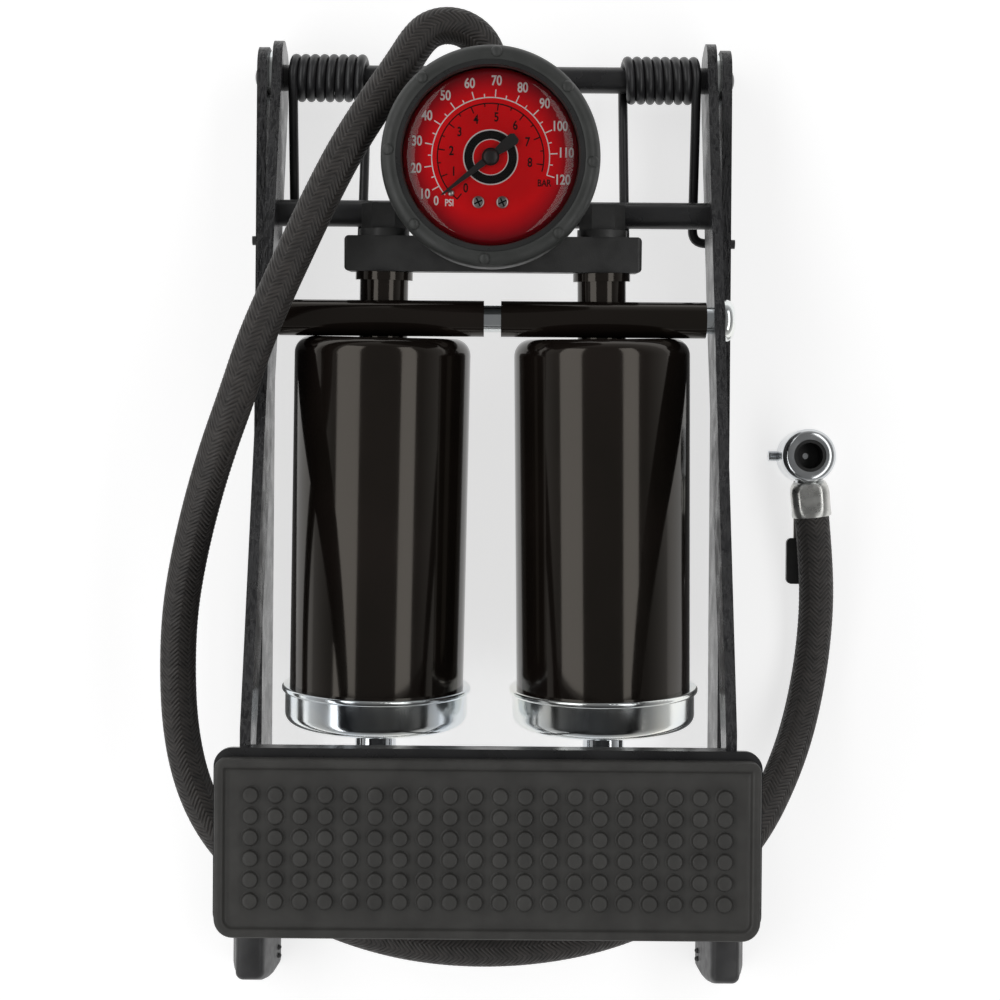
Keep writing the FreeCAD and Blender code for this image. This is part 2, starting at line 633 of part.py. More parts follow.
def manifold():
    """Moulded bar that joins both outlets and carries the gauge on a boss."""
    half = v("manifold_wide") / 2
    low = -v("barrel_drop") - v("manifold_tall") / 2
    bar = block("manifold_bar", ("Dims.manifold_wide", "Dims.manifold_deep", "Dims.manifold_tall"),
                (-half, v("neck_back"), low))
    soft = rounded("manifold_soft", bar, 1.4, lambda e: not runs_along(e, Vector(1, 0, 0)))
    boss = block("manifold_boss", ("22", "%f" % (BOSS_BACK - v("neck_back") - 3), "10.4"),
                 (-12, v("neck_back") + 3, -v("barrel_drop") - 4.6))
    boss_soft = rounded("manifold_boss_soft", boss, 2.0, lambda e: runs_along(e, Vector(0, 1, 0)))
    tools = []
    for side in (-1, 1):
        x = side * v("neck_pitch") / 2
        tools.append(cylinder("manifold_bore_" + side_name(side), "4.5", "Dims.manifold_deep + 2",
                              (x, v("neck_back") - 1, -v("barrel_drop")), "Y"))
    tools.append(cylinder("manifold_passage", "1.6", "Dims.neck_pitch",
                          (-v("neck_pitch") / 2, v("neck_back") + v("manifold_deep") / 2,
                           -v("barrel_drop")), "X"))
    tools.append(cylinder("manifold_duct", "1.6", "%f" % (BOSS_BACK - v("neck_back") - 3),
                          (-1, v("neck_back") + 4, PORT_UP), "Y"))
    tools.append(cylinder("manifold_counterbore", "2.52", "2", (-1, BOSS_BACK - 1.9, PORT_UP), "Y"))
    tools.append(cylinder("manifold_port", "3.5", "12", (-0.8, v("gauge_reach") - 4.0, PORT_UP)))
    keep(cut("manifold", join("manifold_raw", [soft, boss_soft]), *tools), "manifold", BARREL_FRAME)


def hollow_bolts():
    """Hex bolts that clamp the manifold to the necks and pass the air."""
    seals = []
    for side in (-1, 1):
        name = "hollow_bolt_" + side_name(side)
        x = side * v("neck_pitch") / 2
        y = MANIFOLD_BACK
        collar = cylinder(name + "_collar", "7.4", "2.2", (x, y, -v("barrel_drop")), "Y")
        hexagon = bind(doc.addObject("Part::Prism", name + "_hex"),
                       Circumradius="Dims.hex_flats / sqrt(3)", Height="7.4")
        hexagon.Polygon = 6
        hexagon.Placement = Placement(Vector(x, y + 2.2, -v("barrel_drop")), DIRECTION["Y"])
        shank = cylinder(name + "_shank", "4", "Dims.manifold_deep + 7",
                         (x, y - v("manifold_deep") - 7, -v("barrel_drop")), "Y")
        duct = cylinder(name + "_duct", "2", "Dims.manifold_deep + 7",
                        (x, y - v("manifold_deep") - 8, -v("barrel_drop")), "Y")
        side_hole = cylinder(name + "_side_hole", "1.5", "12",
                             (x - 6, v("neck_back") + v("manifold_deep") / 2, -v("barrel_drop")), "X")
        whole = join(name + "_raw", [collar, hexagon, shank])
        keep(cut(name, whole, duct, side_hole), name, BARREL_FRAME)


def gauge_fixed():
    """Gauge case, boot, dial, lens and works, in a frame at the gauge's foot."""
    foot = BARREL_FRAME.multiply(Placement(Vector(-0.8, v("gauge_reach"), GAUGE_LOW), Rotation()))
    deep = v("gauge_deep")
    radius = v("gauge_dia") / 2
    outer = cylinder("case_outer", "Dims.gauge_dia / 2", "Dims.gauge_deep")
    soft = rounded("case_soft", outer, 2.5, lambda e: is_ring(e, radius, 0))
    room = cylinder("case_room", "Dims.gauge_dia / 2 - 1.3", "Dims.gauge_deep", (0, 0, 1.3))
    entry = cylinder("case_entry", "3.5", "4", (0, -4, -1))
    keep(cut("gauge_case", soft, room, entry), "gauge_case", foot)

    boot = cylinder("boot_outer", "Dims.boot_dia / 2", "Dims.gauge_deep - 2", (0, 0, 4))
    boot_soft = rounded("boot_soft", boot, 2.2, lambda e: is_ring(e, v("boot_dia") / 2))
    bumps = [boot_soft]
    for step in range(8):
        angle = math.radians(45 * step + 87)
        bump = cylinder("boot_bump_%d" % step, "1.5", "Dims.gauge_deep - 7",
                        (29.6 * math.cos(angle), 29.6 * math.sin(angle), 6.5))
        bumps.append(bump)
    room = cylinder("boot_room", "Dims.gauge_dia / 2 + 0.02", "Dims.gauge_deep - 4", (0, 0, 4))
    mouth = cylinder("boot_mouth", "Dims.dial_dia / 2 - 0.5", "8", (0, 0, deep - 1))
    keep(cut("gauge_boot", join("boot_raw", bumps), room, mouth), "gauge_boot", foot)

    dial = cylinder("gauge_dial_disc", "Dims.dial_dia / 2", "0.8", (0, 0, deep - 6.2))
    spindle_hole = cylinder("gauge_dial_hole", "0.9", "2", (0, 0, deep - 7))
    screws = []
    screw_holes = []
    for side in (-1, 1):
        at = (side * 3.4, -12.9, deep - 8.2)
        screw_holes.append(cylinder("dial_screw_hole_" + side_name(side), "0.8", "4", at))
        shaft = cylinder("dial_screw_shaft_" + side_name(side), "0.8", "2.8", at)
        head = cylinder("dial_screw_head_" + side_name(side), "1.7", "0.7",
                        (at[0], at[1], deep - 5.4))
        screws.append(join("dial_screw_" + side_name(side), [shaft, head]))
    keep(cut("gauge_dial", dial, spindle_hole, *screw_holes), "gauge_dial", foot)
    keep(group("dial_screws", screws), "dial_screws", foot)

    lens = cylinder("lens_disc", "Dims.dial_dia / 2 + 0.2", "1.4", (0, 0, deep - 2.4))
    keep(rounded("gauge_lens", lens, 0.5, lambda e: is_ring(e, v("dial_dia") / 2 + 0.2, deep - 1.0)),
         "gauge_lens", foot)

    tube = bind(doc.addObject("Part::Torus", "bourdon_tube"), Radius1="14", Radius2="1.8")
    tube.Angle3 = 270.0
    tube.Placement = Placement(Vector(0, 0, 8), Rotation(Vector(0, 0, 1), -90))
    keep(tube, "bourdon_tube", foot)
    works = block("works_plate", ("16", "30", "1.2"), (-8, -17, deep - 9.4))
    post = cylinder("works_post", "3", "%f" % (deep - 9.4 - 1.3), (0, 3, 1.3))
    spindle = cylinder("works_spindle_hole", "0.9", "4", (0, 0, deep - 10))
    keep(cut("gauge_works", join("works_raw", [works, post]), spindle), "gauge_works", foot)

    stem = cylinder("stem_thread", "3.48", "10", (0, -4, -5.8))
    duct = cylinder("stem_duct", "1.2", "12", (0, -4, -7))
    keep(cut("gauge_stem", stem, duct), "gauge_stem", foot)
    return foot


def gauge_needle(foot):
    """Pointer on its spindle: a hub, a long thin blade and a short tail."""
    level = v("gauge_deep") - 4.4
    hub = cylinder("needle_hub", "2.3", "1.2", (0, 0, level))
    spindle = cylinder("needle_spindle", "0.85", "5.6", (0, 0, level - 5.2))
    blade = bind(doc.addObject("Part::Box", "needle_blade"), Length="17.5", Width="0.9",
                 Height="0.5")
    blade.Placement = Placement(Vector(0, -0.45, level + 0.3), Rotation())
    tail = bind(doc.addObject("Part::Box", "needle_tail"), Length="6.5", Width="2",
                Height="0.5")
    tail.Placement = Placement(Vector(-6.5, -1.0, level + 0.3), Rotation())
    turn = Placement(Vector(0, 0, 0), Rotation(Vector(0, 0, 1), NEEDLE_REST))
    keep(join("gauge_needle", [hub, spindle, blade, tail]), "gauge_needle", foot.multiply(turn))


NEEDLE_REST = 218.0


# ---------------------------------------------------------------- hose and chuck
def barb():
    """Barbed fitting in the manifold boss, with a ferrule crimped over the hose."""
    start = BOSS_BACK
    plug = cylinder("barb_plug", "2.5", "2.1", (-1, start - 1.8, PORT_UP), "Y")
    flange = cylinder("barb_flange", "5.4", "%f" % BARB_LONG, (-1, start, PORT_UP), "Y")
    duct = cylinder("barb_duct", "1.4", "12", (-1, start - 7, PORT_UP), "Y")
    keep(cut("hose_barb", join("barb_raw", [plug, flange]), duct), "hose_barb", BARREL_FRAME)
    sleeve = cylinder("ferrule_outer", "Dims.hose_dia / 2 + 1.3", "10",
                      (-1, start + BARB_LONG + 0.1, PORT_UP), "Y")
    room = cylinder("ferrule_room", "Dims.hose_dia / 2 + 0.32", "13",
                    (-1, start + BARB_LONG - 1, PORT_UP), "Y")
    keep(cut("hose_ferrule", sleeve, room), "hose_ferrule", BARREL_FRAME)


BARB_LONG = 2.6


def hose():
    """Braided hose: straight runs joined by tangent arcs, swept as one round tube."""
    points = [Vector(*p) for p in HOSE_ROUTE]
    edges = []
    last = points[0]
    length = 0.0
    for i in range(1, len(points) - 1):
        back = points[i - 1] - points[i]
        onward = points[i + 1] - points[i]
        half = back.getAngle(onward) / 2
        reach = 0.45 * min(back.Length, onward.Length)
        radius = reach * math.tan(half)
        first, middle, end = corner_arc(points[i - 1], points[i], points[i + 1], radius)
        edges.append(Part.LineSegment(last, first).toShape())
        edges.append(Part.Arc(first, middle, end).toShape())
        print("hose arc %2d radius %.1f mm" % (i, radius))
        last = end
    edges.append(Part.LineSegment(last, points[-1]).toShape())
    path = Part.Wire(edges)
    length = path.Length
    radius = v("hose_dia") / 2
    start = (points[1] - points[0]).normalize()
    ring = Part.Wire(Part.Circle(points[0], start, radius).toShape())
    tube = path.makePipeShell([ring], True, False)
    expected = math.pi * radius ** 2 * length
    print("hose length %.1f mm, volume %.0f of %.0f mm3" % (length, tube.Volume, expected))
    item = doc.addObject("Part::Feature", "hose")
    item.Shape = tube
    keep(item, "hose")


def chuck():
    """Thumb-lock chuck: body with an upright bore, seal, pin and folded lever."""
    end = Vector(*HOSE_ROUTE[-1])
    out = (end - Vector(*HOSE_ROUTE[-2])).normalize()
    mouth = end + out * 10.0
    centre = Vector(mouth.x - 0.6, mouth.y + 7.8, 0)
    at = Placement(centre, Rotation())
    pin_up = 3.7
    body = cylinder("chuck_barrel", "Dims.chuck_dia / 2", "Dims.chuck_tall", (0, 0, 0.3))
    soft = rounded("chuck_barrel_soft", body, 2.5, lambda e: is_ring(e, v("chuck_dia") / 2))
    spigot = bind(doc.addObject("Part::Cylinder", "chuck_spigot"), Radius="4.2", Height="12")
    spigot.Placement = Placement(mouth - centre - out * 6.0, Rotation(Vector(0, 0, 1), out))
    bore = cylinder("chuck_bore", "5", "Dims.chuck_tall", (0, 0, 8.3))
    pin_hole = cylinder("chuck_pin_hole", "1.52", "30", (-14, 0, pin_up), "X")
    slot = block("chuck_slot", ("6", "16", "8"), (-3, -12, -0.5))
    whole = join("chuck_raw", [soft, spigot])
    keep(cut("chuck_body", whole, bore, pin_hole, slot), "chuck_body", at)
    seal = cylinder("chuck_seal_cup", "4.98", "9.6", (0, 0, 8.4))
    seal_bore = cylinder("chuck_seal_bore", "Dims.valve_bore / 2", "10", (0, 0, 9.4))
    seal_duct = cylinder("chuck_seal_duct", "1", "4", (0, 0, 7))
    keep(cut("chuck_seal", seal, seal_bore, seal_duct), "chuck_seal", at)
    keep(cylinder("chuck_pin", "1.5", "19", (-11.0, 0, pin_up), "X"), "chuck_pin", at)
    collar = cylinder("chuck_ferrule_outer", "Dims.hose_dia / 2 + 1", "10")
    collar_room = cylinder("chuck_ferrule_room", "4.22", "10")
    turn = Rotation(Vector(0, 0, 1), out)
    keep(cut("chuck_ferrule", collar, collar_room), "chuck_ferrule", Placement(end, turn))
    eye = cylinder("lever_eye", "2.9", "5", (-2.5, 0, pin_up), "X")
    strip = block("lever_strip", ("5", "40", "1.8"), (-2.5, -40, pin_up - 2.9))
    pivot = cylinder("lever_pivot", "1.5 + Dims.running", "8", (-4, 0, pin_up), "X")
    keep(cut("chuck_lever", join("chuck_lever_raw", [eye, strip]), pivot), "chuck_lever", at)
    grip = block("grip_block", ("8.8", "14.5", "2.4"), (-4.7, -40.4, pin_up - 3.2))
    grip_soft = rounded("grip_soft", grip, 1.6, lambda e: runs_along(e, Vector(0, 0, 1)))
    pocket = block("grip_pocket", ("5", "16", "1.8"), (-2.5, -40, pin_up - 2.9))
    keep(cut("chuck_lever_grip", grip_soft, pocket), "chuck_lever_grip", at)


# ---------------------------------------------------------------- pistons
def rod_slot(name):
    """Slotted eye of a piston rod, which leaves room for the front rod as the pump opens."""
    shape = [
        (7.6, -26.0, 0.0),
        (8.4, 8.4, 8.0),
        (-13.4, 8.4, 8.0),
        (-13.4, -12.0, 8.0),
        (-5.0, -26.0, 0.0),
    ]
    return plate(name + "_eye", shape, [], "7")


def pistons():
    """Chromed rods with slotted eyes, each with its piston and a cup seal."""
    front = barrel_frame(1).inverse().multVec(FRONT)
    slot_end = Vector(0, -4.9, -3.5)
    for side in (-1, 1):
        frame = barrel_frame(side)
        far = front.z
        name = "piston_rod_" + side_name(side)
        rod = cylinder(name + "_bar", "Dims.piston_rod_dia / 2", "%f" % (far - 16.0 - 30.0), (0, 0, 30))
        eye = rod_slot(name)
        eye.Placement = Placement(Vector(-3.5, 0, far), Rotation())
        holes = []
        for step in range(2):
            at = (-6, step * slot_end.y, far + step * slot_end.z)
            holes.append(cylinder("%s_hole_%d" % (name, step), "Dims.front_dia / 2 + 1", "12", at, "X"))
        bridge = bind(doc.addObject("Part::Box", name + "_slot"), Width="Dims.front_dia + 2")
        bridge.Length = 12.0
        bridge.Height = slot_end.Length
        lean = Rotation(Vector(0, 0, 1), slot_end)
        bridge.Placement = Placement(Vector(0, 0, far), lean).multiply(
            Placement(Vector(-6, -v("front_dia") / 2 - 1.0, 0), Rotation()))
        whole = join(name + "_raw", [rod, eye])
        keep(cut(name, whole, bridge, *holes), name, frame)
        piston_name = "piston_" + side_name(side)
        disc = cylinder(piston_name + "_disc", "Dims.barrel_dia / 2 - Dims.barrel_wall - 0.5", "12",
                        (0, 0, 24))
        groove = cylinder(piston_name + "_groove", "Dims.barrel_dia / 2", "4.4", (0, 0, 27.8))
        core = cylinder(piston_name + "_core", "Dims.barrel_dia / 2 - 6", "4.4", (0, 0, 27.8))
        ring_room = cut(piston_name + "_ring_room", groove, core)
        tail = cylinder(piston_name + "_rod_room", "Dims.piston_rod_dia / 2", "10", (0, 0, 30))
        keep(cut(piston_name, disc, ring_room, tail), piston_name, frame)
        seal_name = "piston_seal_" + side_name(side)
        ring = cylinder(seal_name + "_ring", "Dims.barrel_dia / 2 - Dims.barrel_wall - Dims.running",
                        "4", (0, 0, 28))
        hole = cylinder(seal_name + "_hole", "Dims.barrel_dia / 2 - 5.98", "6", (0, 0, 27))
        keep(cut(seal_name, ring, hole), seal_name, frame)


def check_and_write():
    doc.recompute()
    for item in doc.Objects:
        bad = [state for state in item.State if state in ("Invalid", "Error")]
        if bad:
            raise RuntimeError("%s is %s" % (item.Label, bad))
    os.makedirs("parts", exist_ok=True)
    box = FreeCAD.BoundBox()
    for item in PIECES:
        shape = item.Shape
        if not item.Label.startswith(("hose", "chuck")):
            box.add(shape.BoundBox)
        if shape.isNull() or not shape.isValid():
            raise RuntimeError("%s has no valid shape" % item.Label)
        shape.exportStep("parts/%s.step" % item.Label)
        print("%-22s solids %d volume %9.1f" % (item.Label, len(shape.Solids), shape.Volume))
    print(len(PIECES), "sub-parts;", box)


base_bars()
riveted_rod("hinge_rod", HINGE, v("base_half"), "rod_dia")
riveted_rod("front_rod", FRONT, v("base_half"), "front_dia")
hinge_washers()
foot_caps()
springs()
lever_bars()
lever_rods()
pedal()
axle()
storage_hook()
barrels()
cross_tubes()
end_caps()
outlet_necks()
manifold()
hollow_bolts()
gauge_needle(gauge_fixed())
barb()
hose()
chuck()
pistons()
check_and_write()
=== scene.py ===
# %% [markdown]
# Twin-cylinder foot pump. The pump lies folded flat on its base. A hinge joins the base bars to
# the lever bars, and two black cylinders hang between them on one axle. This lesson loads the hard
# parts, which were designed in CAD, and gives them finishes. Then it builds the pieces that CAD left
# plain: the braided hose, the wound springs, the studded tread, the printed dial and the crimped
# fittings.

# %% Load the frame
import json
import math
import random

import bpy
import numpy as np
from mathutils import Matrix, Vector


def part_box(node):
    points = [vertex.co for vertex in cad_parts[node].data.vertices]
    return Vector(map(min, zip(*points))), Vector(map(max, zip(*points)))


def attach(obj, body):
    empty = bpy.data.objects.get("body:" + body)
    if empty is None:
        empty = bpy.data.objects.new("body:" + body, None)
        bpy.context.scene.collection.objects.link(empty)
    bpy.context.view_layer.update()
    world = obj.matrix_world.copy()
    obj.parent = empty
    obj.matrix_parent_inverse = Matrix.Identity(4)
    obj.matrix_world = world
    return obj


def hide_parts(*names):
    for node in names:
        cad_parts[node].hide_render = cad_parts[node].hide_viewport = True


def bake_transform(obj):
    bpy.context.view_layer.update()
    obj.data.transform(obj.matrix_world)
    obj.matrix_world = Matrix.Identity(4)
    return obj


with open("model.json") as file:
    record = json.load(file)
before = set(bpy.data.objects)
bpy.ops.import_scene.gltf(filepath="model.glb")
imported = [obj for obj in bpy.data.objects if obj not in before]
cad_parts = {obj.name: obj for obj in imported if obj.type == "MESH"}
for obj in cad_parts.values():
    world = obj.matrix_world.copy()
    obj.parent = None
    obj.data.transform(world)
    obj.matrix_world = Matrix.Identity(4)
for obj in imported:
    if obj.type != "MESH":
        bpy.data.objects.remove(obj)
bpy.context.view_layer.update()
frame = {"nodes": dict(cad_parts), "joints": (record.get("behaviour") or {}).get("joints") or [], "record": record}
JOINTS = {joint["name"]: joint for joint in frame["joints"]}
scene = bpy.context.scene
MM = 0.001

# %% [markdown]
# The camera comes first, since every later choice is judged through it. It hangs a little over
# 60 cm above the floor and looks straight down, with a short telephoto lens, so near parts such as
# the tread look only slightly larger than the base. It leans and rolls by half a degree, as a
# hand-set copy stand does. The lens is given in millimetres for a sensor 36 mm wide.

# %% Camera
camera = bpy.data.objects.new("Camera", bpy.data.cameras.new("Camera"))
scene.collection.objects.link(camera)
camera.data.sensor_width = 36.0
camera.data.lens = 69.77
lean = Matrix.Rotation(math.radians(-0.587), 4, "X")
roll = Matrix.Rotation(math.radians(0.462), 4, "Z")
camera.matrix_world = Matrix.Translation((0.00263, 0.0104, 0.6159)) @ lean @ roll
scene.camera = camera
print("camera", round(camera.location.z, 3), "m above the floor, lens", camera.data.lens, "mm")

# %% [markdown]
# A finish is a small network of shader nodes. One noise texture shifts the colour a little, a
# second changes how rough the surface is, and a third, much finer, raises a bump. All of them read
# object coordinates, so the grain stays on a part when the part moves. Numbers that are the same all
# over, such as how metallic a part is, are set straight on the shader.

# %% Finish builder
def noise(nodes, links, coords, scale, detail=4.0, stretch=(1, 1, 1)):
    """A noise texture in object space; scale counts features along a metre."""
    place = nodes.new("ShaderNodeMapping")
    place.inputs["Scale"].default_value = stretch
    links.new(coords, place.inputs["Vector"])
    field = nodes.new("ShaderNodeTexNoise")
    field.inputs["Scale"].default_value = scale
    field.inputs["Detail"].default_value = detail
    links.new(place.outputs["Vector"], field.inputs["Vector"])
    return field.outputs["Fac"]


def ranged(nodes, links, value, low, high, start=0.3, stop=0.7):
    """Stretches a texture's middle values to run from low to high."""
    node = nodes.new("ShaderNodeMapRange")
    for socket, number in (("From Min", start), ("From Max", stop),
                           ("To Min", low), ("To Max", high)):
        node.inputs[socket].default_value = number
    links.new(value, node.inputs["Value"])
    return node.outputs["Result"]


def blended(nodes, links, factor, first, second):
    """Mixes two colours, or two colour sockets, by a factor."""
    node = nodes.new("ShaderNodeMix")
    node.data_type = "RGBA"
    links.new(factor, node.inputs["Factor"])
    for socket, colour in ((node.inputs[6], first), (node.inputs[7], second)):
        if isinstance(colour, bpy.types.NodeSocket):
            links.new(colour, socket)
        else:
            socket.default_value = (*colour, 1.0)
    return node.outputs[2]


def raised(nodes, links, height, strength, distance, under=None):
    """A bump from a height, laid over an earlier bump."""
    node = nodes.new("ShaderNodeBump")
    node.inputs["Strength"].default_value = strength
    node.inputs["Distance"].default_value = distance
    links.new(height, node.inputs["Height"])
    if under is not None:
        links.new(under, node.inputs["Normal"])
    return node.outputs["Normal"]


def finish(name, dark, light, rough, metal=0.0, patch=60.0, grain=900.0, bump=0.15, depth=0.00005,
           coat=0.0, stretch=(1, 1, 1), specular=0.5):
    """A finish whose colour wanders between two tones and whose roughness between two values."""
    made = bpy.data.materials.new(name)
    made.use_nodes = True
    nodes, links = made.node_tree.nodes, made.node_tree.links
    shader = nodes["Principled BSDF"]
    coords = nodes.new("ShaderNodeTexCoord").outputs["Object"]
    broad = noise(nodes, links, coords, patch, 5.0, stretch)
    fine = noise(nodes, links, coords, grain, 3.0, stretch)
    tone = blended(nodes, links, ranged(nodes, links, broad, 0.0, 1.0), dark, light)
    links.new(tone, shader.inputs["Base Color"])
    worn = noise(nodes, links, coords, patch * 2.3, 6.0, stretch)
    links.new(ranged(nodes, links, worn, rough[0], rough[1]), shader.inputs["Roughness"])
    relief = raised(nodes, links, fine, bump, depth)
    relief = raised(nodes, links, broad, bump * 0.5, depth * 2, relief)
    links.new(relief, shader.inputs["Normal"])
    shader.inputs["Metallic"].default_value = metal
    shader.inputs["Specular IOR Level"].default_value = specular
    shader.inputs["Coat Weight"].default_value = coat
    shader.inputs["Coat Roughness"].default_value = 0.03
    return made


# %% [markdown]
# The finishes of this pump. The cylinders have a deep gloss enamel. The flat bars and the tread plate
# have a satin powder coat with a slight orange peel. The end caps are pressed steel with bright zinc,
# which shows blue and straw tints. The mouldings are black nylon, and the feet, boot and tread are
# rubber that has a fine texture from its mould.

# %% Finishes
FINISH = {
    "frame_paint": finish("powder_coat_black", (0.012, 0.012, 0.013), (0.026, 0.026, 0.027),
                          (0.24, 0.40), grain=1500, bump=0.22, depth=0.00004),
    "spring_paint": finish("spring_coat_black", (0.014, 0.014, 0.015), (0.032, 0.032, 0.034),
                           (0.28, 0.42), grain=1600, bump=0.2),
    "barrel_paint": finish("gloss_enamel_black", (0.005, 0.004, 0.003), (0.010, 0.007, 0.006),
                           (0.09, 0.12), patch=25, grain=700, bump=0.012, depth=0.00001),
    "zinc_plate": finish("bright_zinc", (0.66, 0.72, 0.78), (0.90, 0.90, 0.84), (0.10, 0.20),
                         metal=1.0, patch=45, grain=1300, bump=0.1, depth=0.00003),
    "rod_chrome": finish("hard_chrome", (0.60, 0.63, 0.66), (0.74, 0.76, 0.78), (0.06, 0.13),
                         metal=1.0, grain=900, bump=0.03, stretch=(6, 0.5, 6)),
    "tread_rubber": finish("tread_rubber", (0.026, 0.025, 0.023), (0.042, 0.041, 0.038),
                           (0.50, 0.64), patch=140, grain=2600, bump=0.35, depth=0.00006),
    "foot_rubber": finish("foot_rubber", (0.022, 0.022, 0.023), (0.042, 0.042, 0.043),
                          (0.42, 0.58), patch=120, grain=2200, bump=0.3),
    "boot_rubber": finish("boot_rubber", (0.022, 0.024, 0.022), (0.036, 0.038, 0.036),
                          (0.42, 0.56), patch=150, grain=2400, bump=0.3),
    "moulding": finish("black_nylon", (0.016, 0.016, 0.016), (0.034, 0.034, 0.033),
                       (0.36, 0.55), patch=110, grain=2000, bump=0.4, depth=0.00007),
    "case_steel": finish("case_enamel", (0.014, 0.014, 0.014), (0.024, 0.024, 0.024),
                         (0.25, 0.35)),
    "needle_paint": finish("needle_black", (0.008, 0.008, 0.008), (0.016, 0.016, 0.016),
                           (0.3, 0.4)),
    "screw_steel": finish("plain_steel", (0.36, 0.35, 0.34), (0.60, 0.58, 0.56), (0.25, 0.4),
                          metal=1.0, grain=1800, bump=0.2),
    "brass": finish("turned_brass", (0.55, 0.38, 0.16), (0.72, 0.53, 0.25), (0.2, 0.35), metal=1.0),
    "guide_nylon": finish("natural_nylon", (0.48, 0.47, 0.43), (0.62, 0.61, 0.57), (0.4, 0.5)),
    "piston_nylon": finish("piston_nylon", (0.05, 0.05, 0.05), (0.09, 0.09, 0.09), (0.4, 0.5)),
    "seal_rubber": finish("seal_rubber", (0.006, 0.006, 0.006), (0.014, 0.014, 0.014),
                          (0.3, 0.5), grain=1800, bump=0.3),
    "crimp_aluminium": finish("crimped_metal", (0.50, 0.50, 0.48), (0.72, 0.72, 0.69),
                              (0.22, 0.38), metal=1.0, patch=160, grain=2400, bump=0.25),
    "chuck_plate": finish("bright_nickel", (0.56, 0.58, 0.60), (0.76, 0.78, 0.79), (0.10, 0.2),
                          metal=1.0, patch=130, grain=1800, bump=0.08),
}
print(len(FINISH), "plain finishes")

# %% [markdown]
# Four finishes need more than the builder gives. The dial is red and darkens to crimson towards
# its edge, so its colour follows the distance from the needle's spindle. The lens is clear
# plastic, a mix of see-through and mirror, with more mirror at a glancing angle. The hose braid has
# painted shade between its threads: a number stored on each point of the hose says how high it stands, and the
# lowest points are painted nearly black.
# The cylinders' enamel reflects a little warm.

# %% Special finishes
def dial_finish(centre):
    """Red dial colour that darkens to crimson towards the rim."""
    made = finish("dial_red", (0.84, 0.001, 0.005), (0.94, 0.002, 0.007), (0.30, 0.42),
                  patch=90, grain=1500, bump=0.05, specular=0.08)
    nodes, links = made.node_tree.nodes, made.node_tree.links
    shader = nodes["Principled BSDF"]
    red = shader.inputs["Base Color"].links[0].from_socket
    coords = nodes.new("ShaderNodeTexCoord").outputs["Object"]
    away = nodes.new("ShaderNodeVectorMath")
    away.operation = "DISTANCE"
    away.inputs[1].default_value = centre
    links.new(coords, away.inputs[0])
    edge = ranged(nodes, links, away.outputs["Value"], 0.0, 1.0, 0.0165, 0.0250)
    links.new(blended(nodes, links, edge, red, (0.26, 0.0, 0.012)), shader.inputs["Base Color"])
    return made


def lens_finish():
    """Clear plastic: see-through head on, more of a mirror at a glancing angle."""
    made = bpy.data.materials.new("clear_lens")
    made.use_nodes = True
    nodes, links = made.node_tree.nodes, made.node_tree.links
    nodes.remove(nodes["Principled BSDF"])
    gloss = nodes.new("ShaderNodeBsdfGlossy")
    gloss.inputs["Roughness"].default_value = 0.03
    clear = nodes.new("ShaderNodeBsdfTransparent")
    bend = nodes.new("ShaderNodeFresnel")
    bend.inputs["IOR"].default_value = 1.42
    ripple = noise(nodes, links, nodes.new("ShaderNodeTexCoord").outputs["Object"], 70)
    wave = raised(nodes, links, ripple, 0.05, 0.0001)
    links.new(wave, gloss.inputs["Normal"])
    links.new(wave, bend.inputs["Normal"])
    mix = nodes.new("ShaderNodeMixShader")
    links.new(bend.outputs["Fac"], mix.inputs["Fac"])
    links.new(clear.outputs["BSDF"], mix.inputs[1])
    links.new(gloss.outputs["BSDF"], mix.inputs[2])
    links.new(mix.outputs["Shader"], nodes["Material Output"].inputs["Surface"])
    return made


def braid_finish():
    """Textile braid: brown-black threads, with painted shade that makes the gaps between them nearly black."""
    made = finish("hose_braid", (0.020, 0.017, 0.015), (0.040, 0.034, 0.030), (0.42, 0.60),
                  patch=220, grain=4200, bump=0.45, depth=0.00006)
    nodes, links = made.node_tree.nodes, made.node_tree.links
    shader = nodes["Principled BSDF"]
    thread = shader.inputs["Base Color"].links[0].from_socket
    lift = nodes.new("ShaderNodeAttribute")
    lift.attribute_name = "lift"
    # Painted shade: the braid's low points, between the threads, blend to nearly black.
    high = ranged(nodes, links, lift.outputs["Fac"], 0.0, 1.0, 0.35, 0.95)
    links.new(blended(nodes, links, high, (0.006, 0.005, 0.005), thread), shader.inputs["Base Color"])
    shader.inputs["Sheen Weight"].default_value = 0.25
    shader.inputs["Sheen Roughness"].default_value = 0.4
    return made


NEEDLE = JOINTS["needle_turn"]
SPINDLE = Vector(NEEDLE["pos_m"])
FINISH["dial_print"] = dial_finish(SPINDLE)
enamel = FINISH["barrel_paint"].node_tree.nodes["Principled BSDF"]
enamel.inputs["Specular Tint"].default_value = (1.0, 0.92, 0.82, 1)
FINISH["lens_clear"] = lens_finish()
FINISH["hose_braid"] = braid_finish()
WHITE_INK = finish("white_ink", (0.80, 0.78, 0.76), (0.90, 0.88, 0.86), (0.4, 0.5), patch=300)
# Black ink for the bar scale; it also colours the painted shade in the screw slots.
BLACK_INK_AND_SHADE = finish("black_ink", (0.001, 0.001, 0.001), (0.002, 0.001, 0.001), (0.6, 0.7),
                   patch=300, specular=0.1)
print(len(FINISH), "finishes in all")

# %% [markdown]
# Each part from CAD names the finish it takes in the part's record, so one loop paints them all.

# %% Paint the CAD parts
for row in frame["record"]["subparts"]:
    part = frame["nodes"][row["node"]]
    part.data.materials.clear()
    part.data.materials.append(FINISH[row["material_slot"]])

# %% [markdown]
# The four flat bars were sheared from strip, and the shear leaves a torn band along each narrow edge
# that paint doesn't hide. The narrow edges are the faces that don't look sideways, so the surface's
# own direction masks a coarse, stretched bump onto them.

